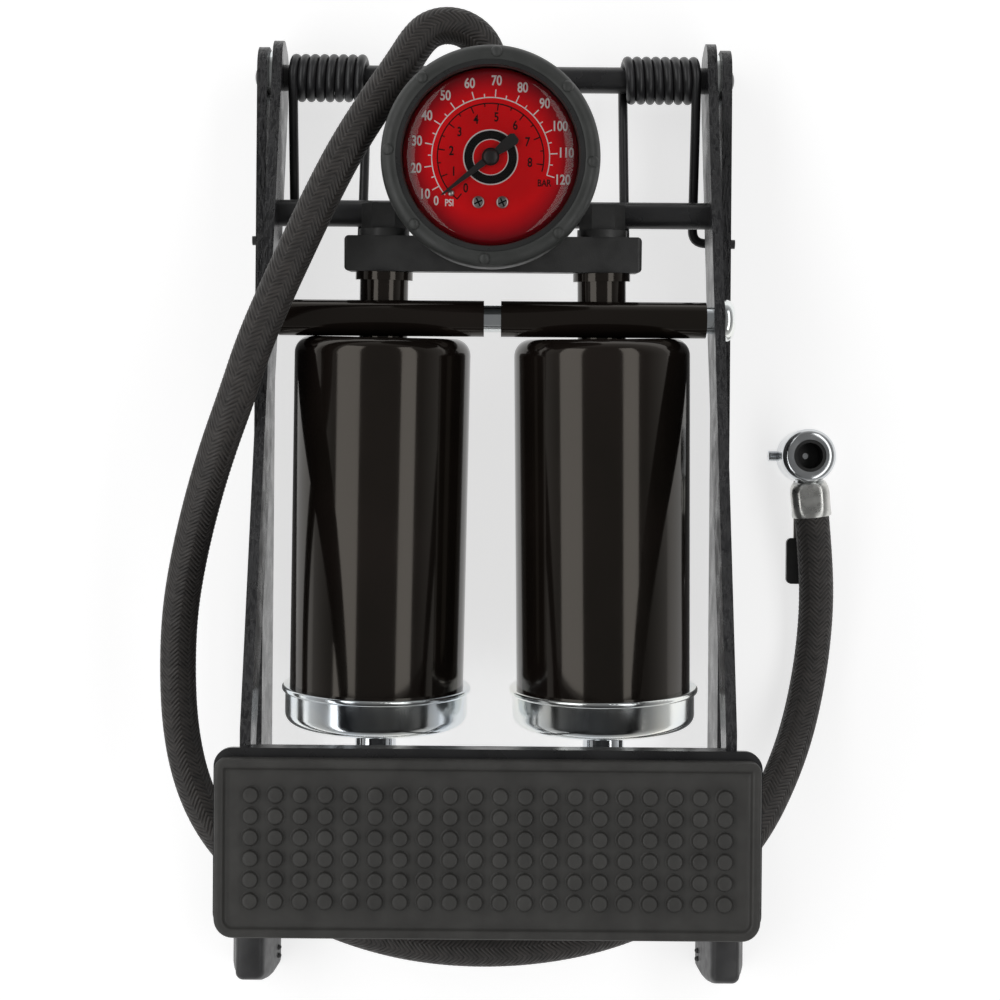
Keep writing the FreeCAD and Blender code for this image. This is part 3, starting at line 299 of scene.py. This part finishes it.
# %% Sheared edges of the bars
def sheared_finish():
    """Bar paint with a torn band on the faces that don't look sideways."""
    made = finish("sheared_bar_paint", (0.010, 0.010, 0.011), (0.022, 0.022, 0.024), (0.20, 0.36),
                  grain=1500, bump=0.2, depth=0.00004)
    nodes, links = made.node_tree.nodes, made.node_tree.links
    shader = nodes["Principled BSDF"]
    coords = nodes.new("ShaderNodeTexCoord")
    split = nodes.new("ShaderNodeSeparateXYZ")
    links.new(coords.outputs["Normal"], split.inputs["Vector"])
    size = nodes.new("ShaderNodeMath")
    size.operation = "ABSOLUTE"
    links.new(split.outputs["X"], size.inputs[0])
    edge = ranged(nodes, links, size.outputs["Value"], 1.0, 0.0, 0.3, 0.7)
    torn = noise(nodes, links, coords.outputs["Object"], 420.0, 6.0, (2.5, 0.6, 1.0))
    torn = ranged(nodes, links, torn, 0.0, 1.0, 0.42, 0.60)
    height = nodes.new("ShaderNodeMath")
    height.operation = "MULTIPLY"
    links.new(edge, height.inputs[0])
    links.new(torn, height.inputs[1])
    under = shader.inputs["Normal"].links[0].from_socket
    links.new(raised(nodes, links, height.outputs["Value"], 0.8, 0.0004, under),
              shader.inputs["Normal"])
    return made


SHEARED = sheared_finish()
for node in ("base_bar_left", "base_bar_right", "lever_bar_left", "lever_bar_right"):
    frame["nodes"][node].data.materials[0] = SHEARED
print("four sheared bars")

# %% [markdown]
# Most turned, drawn or moulded pieces come from two helpers. A loft joins rings of points, each
# ring with as many points as the last, into a skin. A lathe is a loft whose rings are circles, given
# as radius and height. Every new piece is told which body it moves with, which finish it takes and
# which plain CAD part it stands for.

# %% Mesh helpers
def piece(name, points, faces, slot, body, stands_for=(), finish_used=None, crease=40.0):
    """A new mesh piece that rides on a body and may stand for CAD parts."""
    mesh = bpy.data.meshes.new(name)
    mesh.from_pydata([tuple(p) for p in points], [], faces)
    mesh.validate()
    mesh.shade_smooth()
    mesh.set_sharp_from_angle(angle=math.radians(crease))
    mesh.materials.append(finish_used or FINISH[slot])
    made = bpy.data.objects.new(name, mesh)
    scene.collection.objects.link(made)
    if body:
        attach(made, body)
    if stands_for:
        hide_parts(*stands_for)
    print(name, len(mesh.vertices), "points")
    return made


def loft(rings, close_start=True, close_end=True):
    """Joins rings of points into one skin, with flat ends if asked."""
    count = len(rings[0])
    points = [point for ring in rings for point in ring]
    faces = []
    for r in range(len(rings) - 1):
        for i in range(count):
            j = (i + 1) % count
            faces.append((r * count + i, r * count + j, (r + 1) * count + j, (r + 1) * count + i))
    if close_start:
        faces.append(tuple(reversed(range(count))))
    if close_end:
        faces.append(tuple(range((len(rings) - 1) * count, len(rings) * count)))
    return points, faces


def circle(radius, height, steps=48):
    """A ring of points round the Z axis, in metres."""
    return [Vector((radius * math.cos(2 * math.pi * i / steps),
                    radius * math.sin(2 * math.pi * i / steps), height)) for i in range(steps)]


def moved(shape, matrix):
    """The same points and faces somewhere else."""
    return [matrix @ Vector(p) for p in shape[0]], shape[1]


def merged(shapes):
    """Several skins as one mesh."""
    points, faces = [], []
    for some, more in shapes:
        start = len(points)
        points.extend(some)
        faces.extend(tuple(i + start for i in face) for face in more)
    return points, faces


def lathe(profile, steps=64):
    """Turns a profile of (radius, height) in millimetres round the Z axis."""
    return loft([circle(r * MM, h * MM, steps) for r, h in profile])


# %% [markdown]
# A tube follows a line of points. At each point it needs a ring square to the line, and the rings
# must not twist, so each one starts from the last ring's direction and is only bent to the new one.
# The same helper makes the hose and the springs' wire. It can swell the ring from point to point,
# which is how the hose gets its braid.

# %% Tube helper
def stepped(line, gap):
    """The line cut into equal short steps."""
    line = np.array([tuple(p) for p in line], float)
    run = np.concatenate([[0.0], np.cumsum(np.linalg.norm(np.diff(line, axis=0), axis=1))])
    count = max(2, int(round(run[-1] / gap)) + 1)
    at = np.linspace(0.0, run[-1], count)
    return np.stack([np.interp(at, run, line[:, k]) for k in range(3)], axis=1), at


def tube(line, radius, around, swell=None):
    """A skin round a line. swell(distance, angle) adds to the radius."""
    line = np.array([tuple(p) for p in line], float)
    ahead = np.gradient(line, axis=0)
    ahead /= np.linalg.norm(ahead, axis=1)[:, None]
    side = np.cross(ahead[0], (0.0, 0.0, 1.0))
    if np.linalg.norm(side) < 0.1:
        side = np.cross(ahead[0], (1.0, 0.0, 0.0))
    run = np.concatenate([[0.0], np.cumsum(np.linalg.norm(np.diff(line, axis=0), axis=1))])
    turn = 2 * np.pi * np.arange(around) / around
    rings = []
    for point, forward, distance in zip(line, ahead, run):
        side = side - forward * (side @ forward)
        side /= np.linalg.norm(side)
        other = np.cross(forward, side)
        size = radius + (swell(distance, turn) if swell else 0.0 * turn)
        rings.append(point + size[:, None] * (np.cos(turn)[:, None] * side
                                              + np.sin(turn)[:, None] * other))
    return loft([[Vector(p) for p in ring] for ring in rings])


# %% [markdown]
# The hose is 602 mm of rubber tube in a textile braid, 10.4 mm across. It leaves the gauge's
# fitting, turns back over the left lever bar, falls to the left side, passes in front of the feet
# under the tread and comes down on the floor at the chuck. Its line is a smooth curve shaped by the
# same control points as in CAD, and the braid follows the points read from that curve.

# %% Hose route
ROUTE = [
    (-1.0, 108.12, 41.55), (-1.0, 117.9, 42.3), (-1.3, 128.0, 43.2), (-1.5, 134.6, 44.2),
    (-4.5, 139.9, 45.7), (-9.8, 143.0, 47.4), (-16.0, 143.0, 49.3), (-21.3, 139.8, 51.3),
    (-26.9, 130.0, 54.2), (-34.0, 119.0, 57.0), (-41.9, 105.8, 59.4), (-48.9, 91.8, 60.8),
    (-55.2, 78.0, 61.6), (-61.8, 63.1, 63.0), (-67.5, 48.9, 65.2), (-72.4, 33.8, 65.0),
    (-78.2, 19.7, 59.5), (-84.0, 4.7, 50.5), (-89.2, -12.3, 42.5), (-92.8, -29.4, 37.0),
    (-93.8, -47.3, 34.6), (-92.8, -64.5, 34.9), (-89.4, -79.4, 36.6), (-83.4, -92.2, 38.2),
    (-74.4, -103.2, 39.2), (-62.2, -112.9, 39.4), (-46.4, -121.4, 38.7), (-28.1, -127.3, 37.8),
    (-9.5, -129.9, 37.3), (9.8, -129.6, 37.4), (29.0, -126.3, 38.0), (45.6, -120.4, 38.8),
    (60.2, -112.4, 39.4), (72.4, -102.4, 38.6), (81.8, -91.6, 32.0), (89.2, -80.6, 22.0),
    (94.9, -69.6, 13.4), (99.0, -57.0, 7.4), (101.5, -42.5, 6.0), (102.3, -26.6, 7.8),
    (101.3, -11.4, 9.8), (99.9, 1.0, 10.8),
]
HOSE_STEP = 0.27 * MM
curve = bpy.data.curves.new("hose_line", "CURVE")
curve.dimensions = "3D"
spline = curve.splines.new("NURBS")
spline.points.add(len(ROUTE) - 1)
for point, place in zip(spline.points, ROUTE):
    point.co = (*(c * MM for c in place), 1.0)
spline.order_u = 3
spline.use_endpoint_u = True
spline.resolution_u = 24
hose_line = bpy.data.objects.new("hose_line", curve)
drawn = bpy.data.meshes.new_from_object(hose_line)
HOSE_LINE, HOSE_RUN = stepped([v.co for v in drawn.vertices], HOSE_STEP)
bpy.data.objects.remove(hose_line)
print("hose length", round(HOSE_RUN[-1] / MM, 1), "mm in", len(HOSE_LINE), "rings")

# %% [markdown]
# The braid has twenty-two threads each way round, each passing over four and under four, which gives
# the rows of small V shapes. It is made in the mesh, so that its edge is truly ribbed. The hose is
# one fixed mesh and is given no body to move with.

# %% Hose braid
HOSE_WIDE = 10.4 * MM
THREADS = 22
THREAD_RUN = 1.45 * MM
THREAD_HIGH = 0.65 * MM
MEAN_THREAD = 0.75


def thread_height(distance, turn):
    """Height of the top thread, from 0 to 1, in a braid that goes over four and under four."""
    one = THREADS * turn / (2 * np.pi) + distance / THREAD_RUN
    two = THREADS * turn / (2 * np.pi) - distance / THREAD_RUN
    over = np.floor((one + two) / 4) % 2 < 1
    across = np.where(over, one - np.floor(one), two - np.floor(two))
    return np.sqrt(np.clip(1.0 - (2 * across - 1.0) ** 2, 0.0, 1.0))


def braid_swell(distance, turn):
    """How far the skin stands out from the hose's mean radius."""
    return (thread_height(distance, turn) - MEAN_THREAD) * THREAD_HIGH


HOSE_AROUND = 5 * THREADS
points, faces = tube(HOSE_LINE, HOSE_WIDE / 2, HOSE_AROUND, braid_swell)
braided_hose = piece("braided_hose", points, faces, "hose_braid", None, ["hose"], crease=180)
TURN = 2 * np.pi * np.arange(HOSE_AROUND) / HOSE_AROUND
# The height of each point drives the braid's painted gap shade.
lift = braided_hose.data.attributes.new("lift", "FLOAT", "POINT")
lift.data.foreach_set("value", np.concatenate(
    [thread_height(d, TURN) for d in HOSE_RUN]).astype(np.float32))
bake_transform(braided_hose)

# %% [markdown]
# Each return spring is wound from 2.9 mm wire on the hinge rod. The outer end comes forward from
# the top of the coils, then bends out through a hole in the base bar. The inner end leaves from
# below and presses up under the cross rod. The wire is one line: hook, straight leg, seven and a
# half turns and the second leg. Each spring is one fixed mesh and is given no body to move with.

# %% Springs
HINGE = Vector(JOINTS["lever_fold"]["pos_m"])
WIRE = 2.9 * MM
MEAN = 5.9 * MM
RISE = math.radians(18.0)
COIL_OUT, COIL_IN = 61.75 * MM, 39.85 * MM
HOLE_Y, HOLE_Z = -49.5 * MM, -4.0 * MM
HOOK_TIP = 75.0 * MM
TURNS, STEPS_A_TURN = 7, 40
CROSS_ROD_AWAY = 43.6
CROSS_ROD_RADIUS, WIRE_RADIUS, LEG_GAP = 4.0, 1.45, 0.35
LEG_PAST_ROD = 8.0


def rounded_line(corners, cut_back, steps=8):
    """A line of straight runs with its corners rounded."""
    line = [corners[0]]
    for before, corner, after in zip(corners, corners[1:], corners[2:]):
        one = corner + (before - corner).normalized() * cut_back
        two = corner + (after - corner).normalized() * cut_back
        for k in range(steps + 1):
            t = k / steps
            line.append(one * (1 - t) ** 2 + corner * 2 * t * (1 - t) + two * t ** 2)
    return line + [corners[-1]]


def spring_line(side):
    """Hook, leg, coils and leg of one spring, in the hinge's own frame."""
    hole = Vector((side * COIL_OUT, HOLE_Y, HOLE_Z))
    tip = Vector((side * HOOK_TIP, hole.y - 0.3 * MM, hole.z))
    line = rounded_line([tip, hole, Vector((side * COIL_OUT, 0, MEAN))], 4.0 * MM)
    total = 2 * math.pi * TURNS + math.pi + RISE
    steps = TURNS * STEPS_A_TURN
    for k in range(1, steps + 1):
        angle = total * k / steps
        across = COIL_OUT + (COIL_IN - COIL_OUT) * k / steps
        line.append(Vector((side * across, MEAN * math.sin(angle), MEAN * math.cos(angle))))
    reach = CROSS_ROD_AWAY / math.cos(RISE) + LEG_PAST_ROD
    drop = CROSS_ROD_RADIUS + WIRE_RADIUS + LEG_GAP
    line.append(Vector((side * COIL_IN,
                        (-reach * math.cos(RISE) - drop * math.sin(RISE)) * MM,
                        (reach * math.sin(RISE) - drop * math.cos(RISE)) * MM)))
    return line


for side, word in ((-1, "left"), (1, "right")):
    line, run = stepped([p + HINGE for p in spring_line(side)], 0.9 * MM)
    shape = tube(line, WIRE / 2, 16)
    spring = piece("wound_spring_" + word, *shape, "spring_paint", None, ["spring_" + word],
                   crease=60)
    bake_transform(spring)
    print("spring wire", round(run[-1] / MM), "mm long")

# %% [markdown]
# The tread is one rubber moulding: a raised, rounded rim round a shallow tray, with six rows of twenty
# studs for grip. The pad is a loft through rounded rectangles. A rounded rectangle shrinks evenly
# when its sides and its corner radius lose the same amount. Each stud is turned on the lathe with a
# small round at its top and a fillet at its foot, where the mould was cut.

# %% Tread pad
PAD_LOW, PAD_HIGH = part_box("tread_pad")


def rounded_rectangle(half_wide, half_long, corners, height, steps=8):
    """Points round a rectangle; corners are the radii from lower left, anticlockwise."""
    ring = []
    middles = ((-1, -1, 180), (1, -1, 270), (1, 1, 0), (-1, 1, 90))
    for (sx, sy, start), radius in zip(middles, corners):
        for k in range(steps + 1):
            angle = math.radians(start + 90 * k / steps)
            ring.append(Vector((sx * (half_wide - radius) + radius * math.cos(angle),
                                sy * (half_long - radius) + radius * math.sin(angle), height)))
    return ring


PAD_MIDDLE = (PAD_LOW + PAD_HIGH) / 2
half_wide, half_long = (PAD_HIGH.x - PAD_LOW.x) / 2, (PAD_HIGH.y - PAD_LOW.y) / 2
rings = []
for inset, height in ((0.3, 0.0), (0.0, 0.3), (0.0, 3.9), (0.12, 4.5), (0.5, 4.88), (1.0, 5.0),
                      (1.8, 5.0), (2.3, 4.86), (2.6, 4.5), (2.85, 3.9), (3.3, 3.62), (4.2, 3.55)):
    radii = [max(0.4, r - inset) * MM for r in (5.2, 5.2, 2.8, 2.8)]
    rings.append(rounded_rectangle(half_wide - inset * MM, half_long - inset * MM, radii,
                                   height * MM))
tray = moved(loft(rings), Matrix.Translation((PAD_MIDDLE.x, PAD_MIDDLE.y, PAD_LOW.z)))
STUD = ((2.75, 3.3), (2.75, 3.55), (2.35, 3.72), (2.15, 4.1), (2.1, 4.75), (1.98, 4.98),
        (1.7, 5.1), (0.9, 5.12))
stud = lathe(STUD, 20)
COLUMNS, ROWS = 20, 6
STUD_GAP = (6.73 * MM, 5.72 * MM)
studs = []
random.seed(11)
for column in range(COLUMNS):
    for row in range(ROWS):
        x = (column - (COLUMNS - 1) / 2) * STUD_GAP[0]
        y = PAD_MIDDLE.y + (row - (ROWS - 1) / 2) * STUD_GAP[1] + 0.15 * MM
        height = PAD_LOW.z - random.uniform(0.0, 0.12) * MM
        studs.append(moved(stud, Matrix.Translation((x, y, height))))
shape = merged([tray] + studs)
piece("studded_tread", *shape, "tread_rubber", "lever", ["tread_pad"], crease=50)

# %% [markdown]
# A rubber foot is pushed over the front end of each base bar. It flares outward at the floor, its
# front leans back and all its upright edges are rounded, as on any piece that must leave a mould. It
# is a loft of rounded rectangles stacked from the floor up, plus two small nubs that the mould's
# vents left on the inner side.

# %% Rubber feet
# height, inner side, outer side, front, corner radius; sides are measured out from the middle
FOOT_RINGS = ((0.0, 66.4, 79.6, -144.3, 2.6), (0.5, 65.9, 80.5, -144.9, 3.0),
              (1.4, 65.8, 80.7, -145.0, 3.2), (6.0, 66.0, 80.3, -145.0, 3.2),
              (12.0, 66.3, 79.2, -144.9, 3.0), (18.0, 66.7, 78.0, -144.3, 2.8),
              (24.0, 67.1, 77.0, -143.2, 2.6), (29.0, 67.4, 76.5, -141.9, 2.4),
              (31.0, 67.7, 76.1, -141.2, 2.2), (31.8, 68.3, 75.5, -140.5, 1.9),
              (32.1, 69.0, 74.8, -139.6, 1.5))
FOOT_BACK = -123.7


def foot_ring(side, height, inner, outer, front, radius):
    """One level of a foot, with its front corners rounder than its back ones."""
    ring = rounded_rectangle((outer - inner) / 2 * MM, (FOOT_BACK - front) / 2 * MM,
                             [radius * MM] * 2 + [0.6 * MM] * 2, height * MM)
    middle = Vector((side * (inner + outer) / 2, (FOOT_BACK + front) / 2, 0)) * MM
    return [point + middle for point in ring]


for side, word in ((-1, "left"), (1, "right")):
    body = loft([foot_ring(side, *ring) for ring in FOOT_RINGS])
    nubs = [moved(lathe(((0.9, 0.0), (0.8, 0.5), (0.5, 0.85), (0.1, 0.95)), 20),
                  Matrix.Translation((side * 65.98 * MM, y * MM, 7.0 * MM))
                  @ Matrix.Rotation(math.radians(-90 * side), 4, "Y")) for y in (-137.2, -139.8)]
    piece("rubber_foot_" + word, *merged([body] + nubs), "foot_rubber", "base",
          ["foot_cap_" + word], crease=50)

# %% [markdown]
# The gauge is built in its own frame: the origin is on the needle's spindle and Z comes out of the
# dial. The rubber boot is turned on the lathe, and eight small domes for grip are set round its rim.
# The lens is a low dome that curves more steeply near its edge, where it catches the softboxes.

# %% Gauge frame and boot
GAUGE = Matrix.Translation(SPINDLE) @ Vector((0, 0, 1)).rotation_difference(
    Vector(NEEDLE["axis"])).to_matrix().to_4x4()
BOOT_PROFILE = ((26.62, -16.5), (29.2, -16.5), (30.4, -16.1), (31.0, -15.0), (31.0, -8.0),
                (31.0, 0.2), (30.9, 1.6), (30.5, 2.9), (29.8, 3.8), (28.9, 4.35), (27.9, 4.5),
                (26.9, 4.35), (26.0, 3.9), (25.3, 3.2), (24.9, 2.3), (24.85, 1.4), (25.4, 1.1),
                (26.62, 1.0))
BUMPS, FIRST_BUMP, BUMP_LEAN = 8, 87, 25
BUMP_AWAY, BUMP_HEIGHT = 28.9 * MM, 4.25 * MM
boot_points, boot_faces = lathe(BOOT_PROFILE, 256)
BUMP = lathe(((1.75, -0.9), (1.7, -0.1), (1.5, 0.3), (1.05, 0.62), (0.5, 0.76), (0.1, 0.8)), 28)
bumps = []
for k in range(BUMPS):
    turn = Matrix.Rotation(math.radians(360 / BUMPS * k + FIRST_BUMP), 4, "Z")
    bumps.append(moved(BUMP, turn @ Matrix.Translation((BUMP_AWAY, 0, BUMP_HEIGHT))
                       @ Matrix.Rotation(math.radians(BUMP_LEAN), 4, "Y")))
shape = moved(merged([(boot_points, boot_faces[:-2])] + bumps), GAUGE)
piece("gauge_rubber_boot", *shape, "boot_rubber", "cylinders", ["gauge_boot"], crease=60)
LENS_PROFILE = ((25.0, 1.5), (25.05, 1.8), (24.8, 2.15), (24.0, 2.65), (22.6, 3.2), (20.8, 3.65),
                (18.5, 3.95), (15.0, 4.1), (8.0, 4.15), (0.2, 4.16))
piece("gauge_clear_lens", *moved(loft([circle(r * MM, h * MM, 96) for r, h in LENS_PROFILE],
                                      False, True), GAUGE),
      "lens_clear", "cylinders", ["gauge_lens"], crease=60)

# %% [markdown]
# The dial carries two generic scales, one in pounds per square inch with white ink and one in bar
# with black ink. Each scale is an arc with long and short ticks and upright numbers. Ink is thin, so
# all of it lies flat, a few hundredths of a millimetre above the dial. A plain ring marks the
# middle. The numbers are text objects turned into mesh, and then everything in one ink is joined.

# %% Dial print
DIAL_TOP = -0.99 * MM
INK_TOP = DIAL_TOP + 0.03 * MM


def arc_band(inner, outer, start, stop, steps=120):
    """A flat band between two radii and two angles, in millimetres and degrees."""
    points, faces = [], []
    for k in range(steps + 1):
        angle = math.radians(start + (stop - start) * k / steps)
        for radius in (inner, outer):
            points.append(Vector((radius * MM * math.cos(angle), radius * MM * math.sin(angle),
                                  INK_TOP)))
    for k in range(steps):
        faces.append((2 * k, 2 * k + 1, 2 * k + 3, 2 * k + 2))
    return points, faces


def tick(inner, outer, angle, wide):
    """A short line across an arc."""
    half = math.degrees(wide / 2 / ((inner + outer) / 2))
    return arc_band(inner, outer, angle + half, angle - half, 1)


def lettering(text, x, y, size, squeeze=0.78):
    """Flat text with its middle at x, y, in millimetres."""
    font = bpy.data.curves.new("dial_text", "FONT")
    font.body = text
    font.size = size / 0.7 * MM
    font.offset = 0.032 * size * MM
    font.align_x = "CENTER"
    font.align_y = "CENTER"
    maker = bpy.data.objects.new("dial_text", font)
    mesh = bpy.data.meshes.new_from_object(maker)
    points = [Vector((x * MM + v.co.x * squeeze, y * MM + v.co.y, INK_TOP))
              for v in mesh.vertices]
    faces = [tuple(f.vertices) for f in mesh.polygons]
    bpy.data.objects.remove(maker)
    return points, faces


def at_angle(text, radius, angle, size):
    """Upright text at a place on an arc."""
    angle = math.radians(angle)
    return lettering(text, radius * math.cos(angle), radius * math.sin(angle), size)


def psi_angle(value):
    """Where a pressure lies on the white scale, in degrees."""
    return 209.5 - 2.06 * (value - 10)


def bar_angle(value):
    """Where a pressure lies on the black scale, in degrees."""
    return 231.5 - 29.9 * value


white = [arc_band(16.5, 16.8, psi_angle(5), psi_angle(120)), arc_band(7.45, 7.8, 360, 0),
         arc_band(4.85, 5.1, 360, 0), at_angle("0", 19.7, 219, 2.5),
         lettering("PSI", -11.6, -12.9, 1.9)]
black = [arc_band(14.85, 15.2, bar_angle(0), bar_angle(8.25)), arc_band(5.1, 7.45, 360, 0),
         lettering("BAR", 15.2, -7.2, 1.9)]
for value in range(10, 125, 5):
    long_tick = value % 10 == 0
    white.append(tick(16.6, 18.9 if long_tick else 17.7, psi_angle(value), 0.3))
    if long_tick:
        white.append(at_angle(str(value), 21.3, psi_angle(value), 2.7))
for half_step in range(17):
    value = half_step / 2
    black.append(tick(13.1 if half_step % 2 == 0 else 14.1, 15.1, bar_angle(value), 0.34))
    if half_step % 2 == 0:
        black.append(at_angle(str(int(value)), 11.2, bar_angle(value), 2.5))
shape = moved(merged(white), GAUGE)
piece("dial_white_ink", *shape, "dial_print", "cylinders", finish_used=WHITE_INK)
shape = moved(merged(black), GAUGE)
piece("dial_black_ink", *shape, "dial_print", "cylinders", finish_used=BLACK_INK_AND_SHADE)

# %% [markdown]
# The needle is stamped from thin sheet: a long blade that narrows to its tip and a broad tail that
# balances it. A domed hub holds it on the spindle. Two cross-slotted screws fix the dial; their slots
# are thin black boxes on the heads, painted shade in the slots. A small pin stops the needle at zero.

# %% Needle and screws
NEEDLE_OUTLINE = ((17.8, 0.0), (17.0, 0.28), (2.6, 1.0), (1.6, 1.2), (-2.0, 1.0), (-4.4, 1.45),
                  (-8.2, 1.75), (-9.2, 1.1), (-9.2, -1.1), (-8.2, -1.75), (-4.4, -1.45),
                  (-2.0, -1.0), (1.6, -1.2), (2.6, -1.0), (17.0, -0.28))
rings = [[Vector((x * MM, y * MM, h * MM)) for x, y in NEEDLE_OUTLINE] for h in (0.45, 0.85)]
hub = lathe(((1.5, -1.9), (1.5, 0.4), (2.5, 0.45), (2.5, 1.0), (2.2, 1.35), (1.5, 1.6),
             (0.3, 1.7)), 40)
ZERO_ANGLE = 218.0
turn = GAUGE @ Matrix.Rotation(math.radians(ZERO_ANGLE), 4, "Z")
piece("pressure_needle", *moved(merged([loft(rings), hub]), turn), "needle_paint", "needle",
      ["gauge_needle"], crease=35)
SCREW_HEAD = lathe(((1.75, 0.0), (1.75, 0.5), (1.6, 0.72), (1.35, 0.8), (1.15, 0.66),
                    (0.3, 0.66)), 40)
SCREW_AT = [Matrix.Translation((x * MM, -12.6 * MM, DIAL_TOP)) for x in (-3.4, 3.4)]
SCREWS = [moved(SCREW_HEAD, GAUGE @ at) for at in SCREW_AT]
piece("dial_screw_heads", *merged(SCREWS), "screw_steel", "cylinders", ["dial_screws"], crease=30)
# Painted shade: thin black boxes over the screw heads stand in for the shade inside the cross slots.
CROSS_SHADE = loft([[Vector((sx * 1.25 * MM, sy * 0.22 * MM, h * MM))
              for sx, sy in ((-1, -1), (1, -1), (1, 1), (-1, 1))] for h in (0.5, 0.82)])
CROSS_SHADES = [moved(CROSS_SHADE, GAUGE @ at @ Matrix.Rotation(math.radians(spin), 4, "Z"))
         for at in SCREW_AT for spin in (25, 115)]
piece("dial_screw_slot_shade", *merged(CROSS_SHADES), "dial_print", "cylinders", finish_used=BLACK_INK_AND_SHADE)
STOP = lathe(((0.9, -0.2), (0.9, 0.5), (0.6, 0.75), (0.1, 0.8)), 24)
STOP_AT = Matrix.Translation((-11.1 * MM, -10.1 * MM, DIAL_TOP))
piece("needle_stop_pin", *moved(STOP, GAUGE @ STOP_AT), "screw_steel", "cylinders")

# %% [markdown]
# The ferrule at the chuck is a short metal sleeve. A press squeezed it onto the hose, which left
# flats and a rolled lip. It is a loft from a circle at the lip to a squarish ring and back to a
# smaller circle at the chuck. The lock lever turns on a screw, so its end shows a thread, turned
# here as a row of ridges.

# %% Chuck ferrule and pin
END = Vector(ROUTE[-1]) * MM
OUT = (Vector(ROUTE[-1]) - Vector(ROUTE[-2])).normalized()
AT_END = Matrix.Translation(END) @ Vector(
    (0, 0, 1)).rotation_difference(OUT).to_matrix().to_4x4()


def squared_ring(radius, squareness, height, steps=64):
    """A circle that squareness pushes towards a rounded square."""
    ring = []
    for k in range(steps):
        angle = 2 * math.pi * k / steps + math.pi / 4
        square = 1.0 / max(abs(math.cos(angle)), abs(math.sin(angle)))
        size = radius * ((1 - squareness) + squareness * min(square, 1.16))
        ring.append(Vector((size * MM * math.cos(angle), size * MM * math.sin(angle),
                            height * MM)))
    return ring


# radius, squareness, height along the hose
CRIMP = ((5.6, 0.0, -0.9), (6.05, 0.2, -1.0), (6.15, 0.3, -0.5), (6.05, 0.7, 1.0),
         (6.0, 0.9, 3.0), (6.0, 0.95, 6.5), (5.85, 0.85, 8.0), (5.45, 0.6, 9.1),
         (4.9, 0.3, 9.8), (4.3, 0.0, 10.0))
shape = moved(loft([squared_ring(*ring) for ring in CRIMP]), AT_END)
crimp = piece("crimped_ferrule", *shape, "crimp_aluminium", "lever", ["chuck_ferrule"], crease=50)
PIN_LOW, PIN_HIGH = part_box("chuck_pin")
THREAD_PITCH, PIN_LONG = 0.6, 19.0
profile = [(1.5, 0.0), (1.75, 0.25)]
for k in range(6):
    ridge = 0.3 + THREAD_PITCH * k
    profile += [(1.8, ridge + 0.1), (1.42, ridge + 0.35), (1.8, ridge + 0.6)]
profile += [(1.5, PIN_LONG - 0.3), (1.3, PIN_LONG)]
PIN = Matrix.Translation((PIN_LOW.x, (PIN_LOW.y + PIN_HIGH.y) / 2,
                          (PIN_LOW.z + PIN_HIGH.z) / 2))
shape = moved(lathe(profile, 32), PIN @ Matrix.Rotation(math.radians(90), 4, "Y"))
pin = piece("threaded_pin", *shape, "chuck_plate", "lever", ["chuck_pin"], crease=50)

# %% [markdown]
# Its end is the chuck with its ferrule and its lock lever.

# %% [markdown]
# The pump lies on a plain pale table that is lit a little from below, so the gaps between its parts
# stay pale. Two long softboxes stand either side of the camera, so each glossy cylinder shows two
# soft bands with a dark gap between them, and the zinc caps show two bright ones. The sky is pale
# near the horizon, which lights the outer edges, and dim overhead.

# %% Floor and light
floor_mesh = bpy.data.meshes.new("floor")
floor_mesh.from_pydata([(-3, -3, 0), (3, -3, 0), (3, 3, 0), (-3, 3, 0)], [], [(0, 1, 2, 3)])
FLOOR_FINISH = finish("pale_floor", (0.50, 0.50, 0.50), (0.52, 0.52, 0.52), (0.75, 0.85),
                      patch=3, grain=200, bump=0.0, specular=0.1)
floor_shader = FLOOR_FINISH.node_tree.nodes["Principled BSDF"]
floor_shader.inputs["Emission Color"].default_value = (1, 1, 1, 1)
floor_shader.inputs["Emission Strength"].default_value = 0.70
floor_mesh.materials.append(FLOOR_FINISH)
floor = bpy.data.objects.new("floor", floor_mesh)
scene.collection.objects.link(floor)


def softbox(name, place, size, watts):
    """A rectangular light that faces the pump's middle."""
    lamp = bpy.data.lights.new(name, "AREA")
    lamp.shape = "RECTANGLE"
    lamp.size, lamp.size_y = size
    lamp.energy = watts
    holder = bpy.data.objects.new(name, lamp)
    holder.location = place
    holder.rotation_euler = (0.0, math.atan2(place[0], place[2]), 0.0)
    scene.collection.objects.link(holder)


softbox("softbox_left", (-0.62, 0.0, 0.72), (0.50, 2.2), 6.2)
softbox("softbox_right", (0.56, 0.0, 0.80), (0.34, 2.2), 4.4)
world = bpy.data.worlds.new("studio")
world.use_nodes = True
scene.world = world
nodes, links = world.node_tree.nodes, world.node_tree.links
split = nodes.new("ShaderNodeSeparateXYZ")
links.new(nodes.new("ShaderNodeTexCoord").outputs["Generated"], split.inputs["Vector"])
ramp = nodes.new("ShaderNodeValToRGB")
for stop, (height, grey) in zip(ramp.color_ramp.elements, ((0.0, 0.55), (0.55, 0.17))):
    stop.position = height
    stop.color = (grey, grey, grey, 1)
links.new(split.outputs["Z"], ramp.inputs["Fac"])
links.new(ramp.outputs["Color"], nodes["Background"].inputs["Color"])
nodes["Background"].inputs["Strength"].default_value = 1.0
scene.view_settings.view_transform = "Standard"
print("two softboxes and a pale sky")
